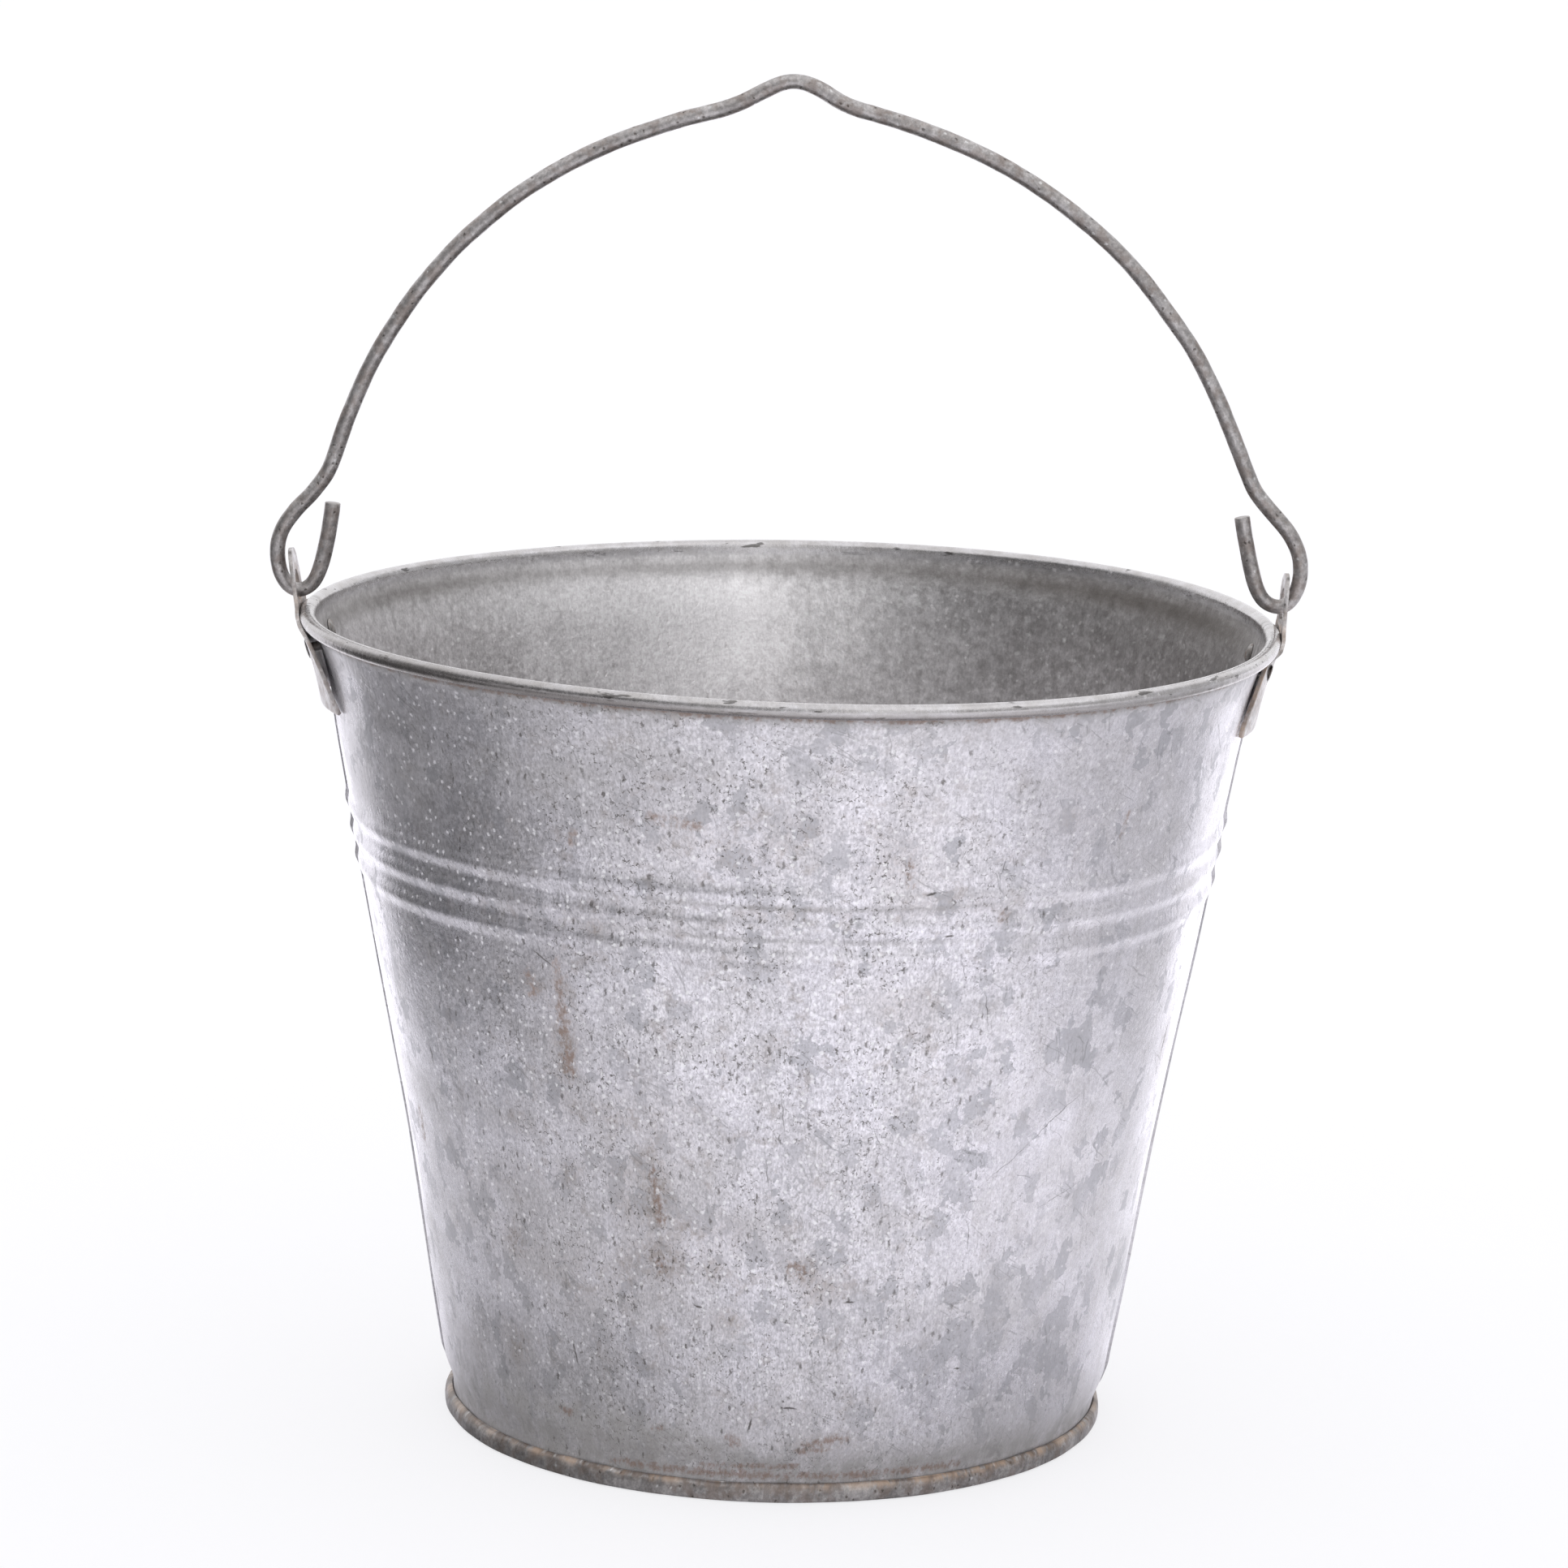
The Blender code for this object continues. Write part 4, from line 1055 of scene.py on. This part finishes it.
def wall_material(name, dark_marks, fine_marks):
    net = MaterialNet(name)
    uv = net.node("ShaderNodeUVMap", uv_map="UVMap")
    inside, rim, coarse = net.attr("inside"), net.attr("rim"), net.attr("coarse")
    shade_and_grime_area, rust_area = net.attr("grime"), net.attr("rust")
    # clouding of the patina, then close mottling, grain and upright streaks
    cloud = uv.noise(scale=42.0, detail=4.0, rough=0.62, distort=0.4)
    cloud_fine = uv.moved(by=(3.1, 1.7)).noise(scale=130.0, detail=4.0, rough=0.62)
    mottle = uv.moved(by=(0.7, 2.2), stretch=(1, 0.8)).noise(scale=640.0, rough=0.66)
    grain = uv.moved(by=(5.0, 0), stretch=(1, 0.55)).noise(scale=1500.0, detail=2.0, rough=0.5)
    streak = uv.moved(stretch=(1.0, 0.10)).noise(scale=420.0)
    base = net.blend(cloud.ramp(over=(0.34, 0.68)), (0.675, 0.657, 0.682), (0.775, 0.757, 0.806))
    base = net.blend(cloud_fine.ramp(over=(0.34, 0.70), to=(0.0, 0.45)), base, (0.82, 0.80, 0.85))
    tone = (mottle.ramp(over=(0.28, 0.72), to=(0.82, 1.13))
            * grain.ramp(over=(0.28, 0.72), to=(0.84, 1.12)))
    tone = tone * streak.ramp(over=(0.3, 0.7), to=(0.95, 1.04))
    tone = 1.0 + (tone - 1.0) * (coarse * 0.75 + 0.25)
    flake, spangle = flaking(uv, net.attr("flake"))
    tone = tone * (0.92 + spangle)
    crackle = crackling(uv, coarse)
    pits = pitting(uv, coarse)
    # bright specks: lighter grains, partly painted glints where bumps catch light
    speck_uv = uv.ragged(scale=800.0, amount=0.0012).moved(by=(4.4, 1.1))
    speck_parts = speck_uv.cell_parts(scale=420.0)
    specks = (speck_uv.cells(scale=420.0).ramp(over=(0.30, 0.12))
              * speck_parts.out(0).ramp(over=(0.78, 0.82)))
    hair = hairlines(net, uv)
    # placed marks
    dark = net.strokes(uv.ragged(scale=500.0, amount=0.0009), dark_marks)
    fine = net.strokes(uv.ragged(scale=160.0, amount=0.0022), fine_marks, core=0.1)
    rust = rust_area * 0.55 + (mottle - 0.5) * 1.5
    rust = rust + (uv.moved(by=(4, 9)).noise(scale=210.0) - 0.5) * 1.0
    rust = rust.ramp(over=(0.05, 0.80)) * rust_area.ramp(over=(0.04, 0.50))
    # brown film, in its patches and thinly over the coarse areas
    film = net.attr("brown") * (mottle + cloud_fine * 0.6).ramp(over=(0.62, 1.0), to=(0.12, 1.15))
    torn = uv.moved(by=(6, 6)).noise(scale=105.0, detail=6.0, rough=0.76).ramp(over=(0.53, 0.70))
    film = net.math('ADD', film, torn * coarse * 0.52, clamp=True)
    # dark marks: dirt and painted shade (lines on the beads' flanks, the contact line under the
    # rim), broken up by cloud
    grime = shade_and_grime_area * cloud_fine.ramp(over=(0.25, 0.62), to=(0.55, 1.0))

    col = net.layered(net.blend(1.0, base, tone, mode='MULTIPLY'), [
        (flake, 0.66, (0.43, 0.43, 0.46)),
        (film, 0.72, (0.385, 0.335, 0.305)),
        # dirt and painted shade
        (grime, 0.78, (0.255, 0.245, 0.232)),
        (rust, 0.72, (0.215, 0.135, 0.098)),
        (crackle, 0.86, (0.13, 0.122, 0.110)),
        (pits, 0.68, (0.12, 0.11, 0.10)),
        (hair, 0.38, (0.20, 0.20, 0.20)),
        (fine, 0.70, (0.11, 0.105, 0.10)),
        (dark, 0.85, (0.060, 0.052, 0.045))])
    # areas away from dirt, painted shade and rust
    unmarked = net.math('SUBTRACT', 1.0, net.largest(grime, rust), clamp=True)
    # white specks laid on as painted glints, kept off the dark marks
    col = net.blend(specks * coarse * (unmarked * 0.55), col, (0.97, 0.97, 0.98))
    # the inside of the pail: duller, with painted light and shade (reflections of the
    # surroundings) over random tone, and brown areas
    fleck = uv.moved(by=(1.3, 4.2), stretch=(1, 0.85)).noise(scale=300.0, detail=4.0, rough=0.68)
    inner_shade_and_tone = net.attr("inner_tone") + (cloud - 0.5) * 0.35
    inner_shade_and_tone = inner_shade_and_tone - (fleck - 0.5) * 1.9
    inner = net.blend(inner_shade_and_tone.ramp(over=(-1.0, 1.1)), (0.95, 0.93, 0.94), (0.38, 0.362, 0.36))
    dots = (speck_uv.cells(scale=300.0).ramp(over=(0.34, 0.10))
            * speck_parts.out(1).ramp(over=(0.70, 0.90)))
    inner = net.layered(net.blend(1.0, inner, tone, mode='MULTIPLY'), [
        (dots, 0.5, (0.92, 0.92, 0.91)),
        (pits, 0.22, (0.20, 0.16, 0.13)),
        # painted shade of the groove under the curl
        (shade_and_grime_area, 0.85, (0.12, 0.105, 0.092))])
    col = net.blend(inside, col, inner)
    col = net.blend(rim, col, rim_colour(net, uv, tone, shade_and_grime_area))

    # roughness: a polished base, raised by wear, film, dirt, painted shade and the inside
    wear = cloud.ramp(over=(0.3, 0.7)) * -0.06 + mottle.ramp(over=(0.3, 0.7)) * 0.08
    off_rim = 1.0 - rim
    rough = 0.235 + coarse * 0.075 + wear + flake * 0.05
    rough = rough + net.largest(film, grime) * off_rim * 0.20
    rough = rough + rim * -0.05 + inside * 0.08
    rough = net.math('ADD', rough, net.largest(dark, crackle) * 0.25, clamp=True)
    # dirt, painted shade and the bright glint specks are less metallic
    soil_and_shade = net.largest(grime, net.largest(rust, dark)) * off_rim
    metal = net.math('SUBTRACT', 0.92, soil_and_shade * 0.55 + specks * unmarked * 0.45, clamp=True)
    height = mottle * 0.75 + cloud_fine * 0.9 - pits * 0.6
    return net.finish(col, rough, metal, height, bump_strength=0.55)


# =====================================================================
# plainer weathered metal of the small parts
# =====================================================================
def part_material(name, light, dark, brown, brown_amount, rough, rusty=False, scale=1.0,
                  space="UV"):
    """scale sizes the clouds; rusty reads the "rust" attribute."""
    net = MaterialNet(name)
    if space == "UV":
        uv = net.node("ShaderNodeUVMap", uv_map="UVMap")
    else:
        net.dims = '3D'
        uv = net.node("ShaderNodeTexCoord", output="Object")
    cloud = uv.noise(scale=75.0 * scale, detail=5.0, rough=0.62, distort=0.3)
    mottle = uv.moved(by=(2, 1)).noise(scale=520.0, detail=4.0, rough=0.62)
    grain = uv.moved(by=(5, 0)).noise(scale=1500.0, detail=2.0, rough=0.5)
    film = uv.moved(by=(8, 3)).noise(scale=130.0 * scale, detail=5.0, rough=0.66)
    col = net.blend(cloud.ramp(over=(0.34, 0.66)), dark, light)
    tone = (mottle.ramp(over=(0.28, 0.72), to=(0.76, 1.20))
            * grain.ramp(over=(0.25, 0.75), to=(0.90, 1.10)))
    col = net.blend(1.0, col, tone, mode='MULTIPLY')
    browned = film.ramp(over=(0.44, 0.64)) * brown_amount
    col = net.blend(browned, col, brown)
    spot_uv = uv.ragged(scale=700.0, amount=0.0012)
    parts = spot_uv.cell_parts(scale=380.0)
    dist = spot_uv.cells(scale=380.0)
    pits = dist.ramp(over=(0.24, 0.08)) * parts.out(0).ramp(over=(0.80, 0.84))
    specks = dist.ramp(over=(0.26, 0.10)) * parts.out(1).ramp(over=(0.88, 0.92))
    col = net.layered(col, [(pits, 0.7, (0.07, 0.06, 0.05)), (specks, 0.55, (0.88, 0.88, 0.88))])
    rust = 0.0
    if rusty:
        patches = uv.noise(scale=300.0, detail=4.0, rough=0.65)
        rust = net.attr("rust") * patches.ramp(over=(0.30, 0.56))
        tint = net.blend(uv.moved(by=(1, 6)).noise(scale=110.0).ramp(over=(0.38, 0.62)),
                         (0.15, 0.10, 0.07), (0.50, 0.36, 0.26))
        col = net.layered(col, [(rust, 0.9, tint)])
    rough = rough + net.largest(browned, rust) * 0.22
    rough = net.math('ADD', rough, (mottle - 0.5) * 0.2, clamp=True)
    metal = net.math('SUBTRACT', 0.9, net.math('MULTIPLY', rust, 0.6), clamp=True)
    height = mottle * 0.6 + grain * 0.3 + film * 0.7 - pits * 0.8
    return net.finish(col, rough, metal, height, bump_strength=0.5)


def paint(ob, mat):
    ob.data.materials.clear()
    ob.data.materials.append(mat)


def add_foot_rust(ob):
    """Rust line along the top edge of the foot ring, stronger in four stretches."""
    co = coords_mm(ob.data)
    deg = np.degrees(np.arctan2(co[:, 0], -co[:, 1]))
    top_edge = np.exp(-((co[:, 2] - 5.3) / 1.3) ** 2)
    amount = (0.45 + 0.55 * np.exp(-((deg - 42) / 26.0) ** 2)
              + 0.35 * np.exp(-((deg + 34) / 24.0) ** 2)
              + 0.3 * np.exp(-((np.abs(deg) - 150) / 22.0) ** 2))
    add_attr(ob, "rust", np.clip(top_edge * amount, 0, 1))


def add_ear_rust(ob, wing_amount):
    """Rust at the rim's height, on the edges of the wings and round the hole."""
    co = coords_mm(ob.data)
    y, z = co[:, 1], co[:, 2]
    near_rim = np.exp(-((z - EAR_BEND) / 3.0) ** 2)
    half_w = np.array([soft_table(EAR_W, h, 0.25) for h in z])
    wings = smooth((np.abs(y) - half_w + 2.2) / 1.6) * (z < 246) * wing_amount
    hole_edge = np.exp(-((np.hypot(y, z - 257.0) - 5.2) / 1.1) ** 2)
    add_attr(ob, "rust", np.clip(0.55 * near_rim + wings + 0.45 * hole_edge, 0, 1))


paint(body_front, wall_material("zinc_wall_front", FRONT_DARK, FRONT_FINE))
paint(body_back, wall_material("zinc_wall_back", BACK_DARK, BACK_FINE))

add_foot_rust(foot)
paint(foot, part_material(
    "zinc_foot", light=(0.47, 0.45, 0.445), dark=(0.29, 0.275, 0.27),
    brown=(0.24, 0.185, 0.155), brown_amount=0.5, rough=0.42, rusty=True))
paint(plate, part_material(
    "zinc_bottom", light=(0.46, 0.455, 0.44), dark=(0.26, 0.255, 0.24),
    brown=(0.22, 0.17, 0.13), brown_amount=0.5, rough=0.46, scale=0.6, space="Object"))
paint(rim_wire, part_material(
    "iron_rim_wire", light=(0.30, 0.29, 0.28), dark=(0.16, 0.14, 0.13),
    brown=(0.16, 0.09, 0.06), brown_amount=0.7, rough=0.5))
ear_zinc = part_material(
    "zinc_ear", light=(0.66, 0.64, 0.64), dark=(0.46, 0.44, 0.43),
    brown=(0.30, 0.21, 0.16), brown_amount=0.35, rough=0.38, rusty=True, scale=1.6,
    space="Object")
for ear, wing_amount in ((ear_left, 0.15), (ear_right, 0.8)):
    add_ear_rust(ear, wing_amount)
    paint(ear, ear_zinc)
rivet_zinc = part_material(
    "zinc_rivet", light=(0.44, 0.43, 0.42), dark=(0.22, 0.20, 0.19),
    brown=(0.18, 0.11, 0.075), brown_amount=0.6, rough=0.45, scale=2.0, space="Object")
for piece in pail_pieces:
    if piece.name.startswith("head_rivet"):
        paint(piece, rivet_zinc)
paint(bail, part_material(
    "zinc_bail", light=(0.50, 0.48, 0.475), dark=(0.38, 0.36, 0.352),
    brown=(0.27, 0.205, 0.17), brown_amount=0.40, rough=0.40, scale=1.4))


# =====================================================================
# floor, light and camera
# =====================================================================
def floor_material():
    """White floor whose mirror image in the zinc is darkened and lifted by area, in metres."""
    net = MaterialNet("floor_white")
    x = net.node("ShaderNodeSeparateXYZ",
                 {0: net.node("ShaderNodeNewGeometry", output="Position")})
    y = x.out(1)
    light_path = net.node("ShaderNodeLightPath")
    camera_ray = light_path.out("Is Camera Ray")
    from_axis = net.math('SQRT', x * x + y * y)
    abs_x = net.math('ABSOLUTE', x)
    # positive for what lies behind the pail as the flanks of the wall see it
    behind = y - (abs_x - 0.13) * 0.62
    # darkened areas: far left, left, close round the pail, and right
    far = (x.ramp(over=(-0.28, -0.50)) * behind.ramp(over=(0.23, 0.08))
           * y.ramp(over=(-0.60, -0.12), to=(0.35, 1.0)))
    left = (x.ramp(over=(-0.10, -0.24)) * behind.ramp(over=(0.15, 0.01))
            * y.ramp(over=(-0.42, -0.10)))
    near = from_axis.ramp(over=(0.24, 0.11)) * behind.ramp(over=(0.06, -0.04))
    near = near * net.largest(x.ramp(over=(-0.02, -0.10), to=(0.20, 0.86)),
                              x.ramp(over=(0.02, 0.12), to=(0.20, 0.55)))
    right = (x.ramp(over=(0.22, 0.45)) * behind.ramp(over=(0.21, 0.04))
             * y.ramp(over=(-0.62, -0.25)))
    keep = (1.0 - far * 0.92) * (1.0 - left * 0.32) * (1.0 - near) * (1.0 - right * 0.40)
    glossy = light_path.out("Is Glossy Ray") * (1.0 - camera_ray)
    # lifted areas: behind, a little on the front right, further behind, and at the foot
    lift = glossy * behind.ramp(over=(0.07, 0.20), to=(0.0, 0.42))
    lift = lift + glossy * (x.ramp(over=(-0.02, 0.12), to=(0.0, 0.10))
                            * y.ramp(over=(0.1, -0.1)))
    lift = lift + glossy * behind.ramp(over=(0.17, 0.30), to=(0.0, 0.30))
    lift = lift * abs_x.ramp(over=(0.52, 0.36), to=(0.35, 1.0))
    hem = (from_axis.ramp(over=(0.22, 0.115), to=(0.0, 0.34))
           * behind.ramp(over=(-0.05, 0.02)))
    lift = lift + glossy * hem
    net.fill(net.bsdf, {
        "Base Color": net.blend((1.0 - keep) * glossy, (0.93, 0.925, 0.95), (0.02, 0.02, 0.02)),
        "Emission Color": (0.97, 0.95, 1.04),
        "Emission Strength": lift,
        "Roughness": 0.9,
        "Specular IOR Level": 0.2})
    # seen directly the floor is lifted towards plain white, leaving a faint contact shadow
    white = net.blend(y.ramp(over=(-0.10, -0.50)), (0.985, 0.985, 1.0), (0.950, 0.930, 0.995))
    glow = net.node("ShaderNodeEmission", {"Color": white, "Strength": 1.02})
    mix = net.node("ShaderNodeMixShader", {
        0: camera_ray * 0.70, 1: Value(net, net.bsdf.outputs[0]), 2: glow})
    net.put(net.tree.nodes["Material Output"].inputs[0], mix)
    return net.mat


def make_floor(half=14.0):
    mesh = bpy.data.meshes.new("floor")
    mesh.from_pydata([(-half, -half, 0), (half, -half, 0), (half, half, 0), (-half, half, 0)],
                     [], [(0, 1, 2, 3)])
    ob = link("floor", mesh)
    ob.location.z = -0.0002
    mesh.materials.append(floor_material())


def make_world():
    """Even light, with a studio of soft areas seen only in reflections."""
    world = bpy.data.worlds.new("studio")
    world.use_nodes = True
    net = Net(world.node_tree)
    net.spare = 0.5
    x = net.node("ShaderNodeSeparateXYZ",
                 {0: net.node("ShaderNodeTexCoord", output="Generated")})
    y, z = x.out(1), x.out(2)
    # white sweep behind
    back = y.ramp(over=(-0.15, 0.60)) * x.ramp(over=(-0.98, -0.62), to=(0.25, 1.0))
    back = back * x.ramp(over=(0.52, 0.90), to=(1.0, 0.35))
    # soft box to the right
    right = x.ramp(over=(0.20, 0.90), to=(0.0, 0.42))
    # lit room behind the camera, brighter high on the right
    front = (y.ramp(over=(-0.62, -0.95), to=(0.0, 0.58))
             * x.ramp(over=(-0.35, 0.30), to=(0.4, 1.5)))
    glow = z.ramp(over=(0.30, 0.50), to=(0.0, 0.75)) * x.ramp(over=(0.06, 0.28))
    front = front * (1.0 + glow)
    top = z.ramp(over=(0.34, 0.80), to=(0.0, 0.95))
    level = net.largest(net.largest(back, net.largest(right, front)), top) + 0.13
    # a lamp high on the right, towards the front
    lamp = z.ramp(over=(0.28, 0.50), to=(0.0, 0.28)) * x.ramp(over=(0.06, 0.26))
    lamp = lamp * (x.ramp(over=(0.95, 0.70)) * y.ramp(over=(0.20, -0.10)))
    level = net.math('MINIMUM', level + lamp, 1.25)
    glossy = net.node("ShaderNodeLightPath", output="Is Glossy Ray")
    net.fill(net.tree.nodes["Background"], {
        "Color": (0.985, 0.985, 1.0), "Strength": glossy * level + (1.0 - glossy) * 1.12})
    bpy.context.scene.world = world


def make_camera():
    yaw, pitch, roll = -0.00084, 0.19617, 0.02897       # radians
    place = (0.0, -1.72887, 0.54168)
    forward = np.array([math.sin(yaw) * math.cos(pitch), math.cos(yaw) * math.cos(pitch),
                        -math.sin(pitch)])
    level = np.array([math.cos(yaw), -math.sin(yaw), 0.0])
    upright = np.cross(level, forward)
    right = math.cos(roll) * level + math.sin(roll) * upright
    up = -math.sin(roll) * level + math.cos(roll) * upright
    data = bpy.data.cameras.new("camera")
    cam = link("camera", data)
    data.sensor_width = 36.0
    data.lens = 131.092304348
    rows = [(right[i], up[i], -forward[i], place[i]) for i in range(3)]
    cam.matrix_world = Matrix((*rows, (0, 0, 0, 1)))
    bpy.context.scene.camera = cam


make_floor()
make_world()
make_camera()
bpy.context.scene.view_settings.view_transform = 'Standard'
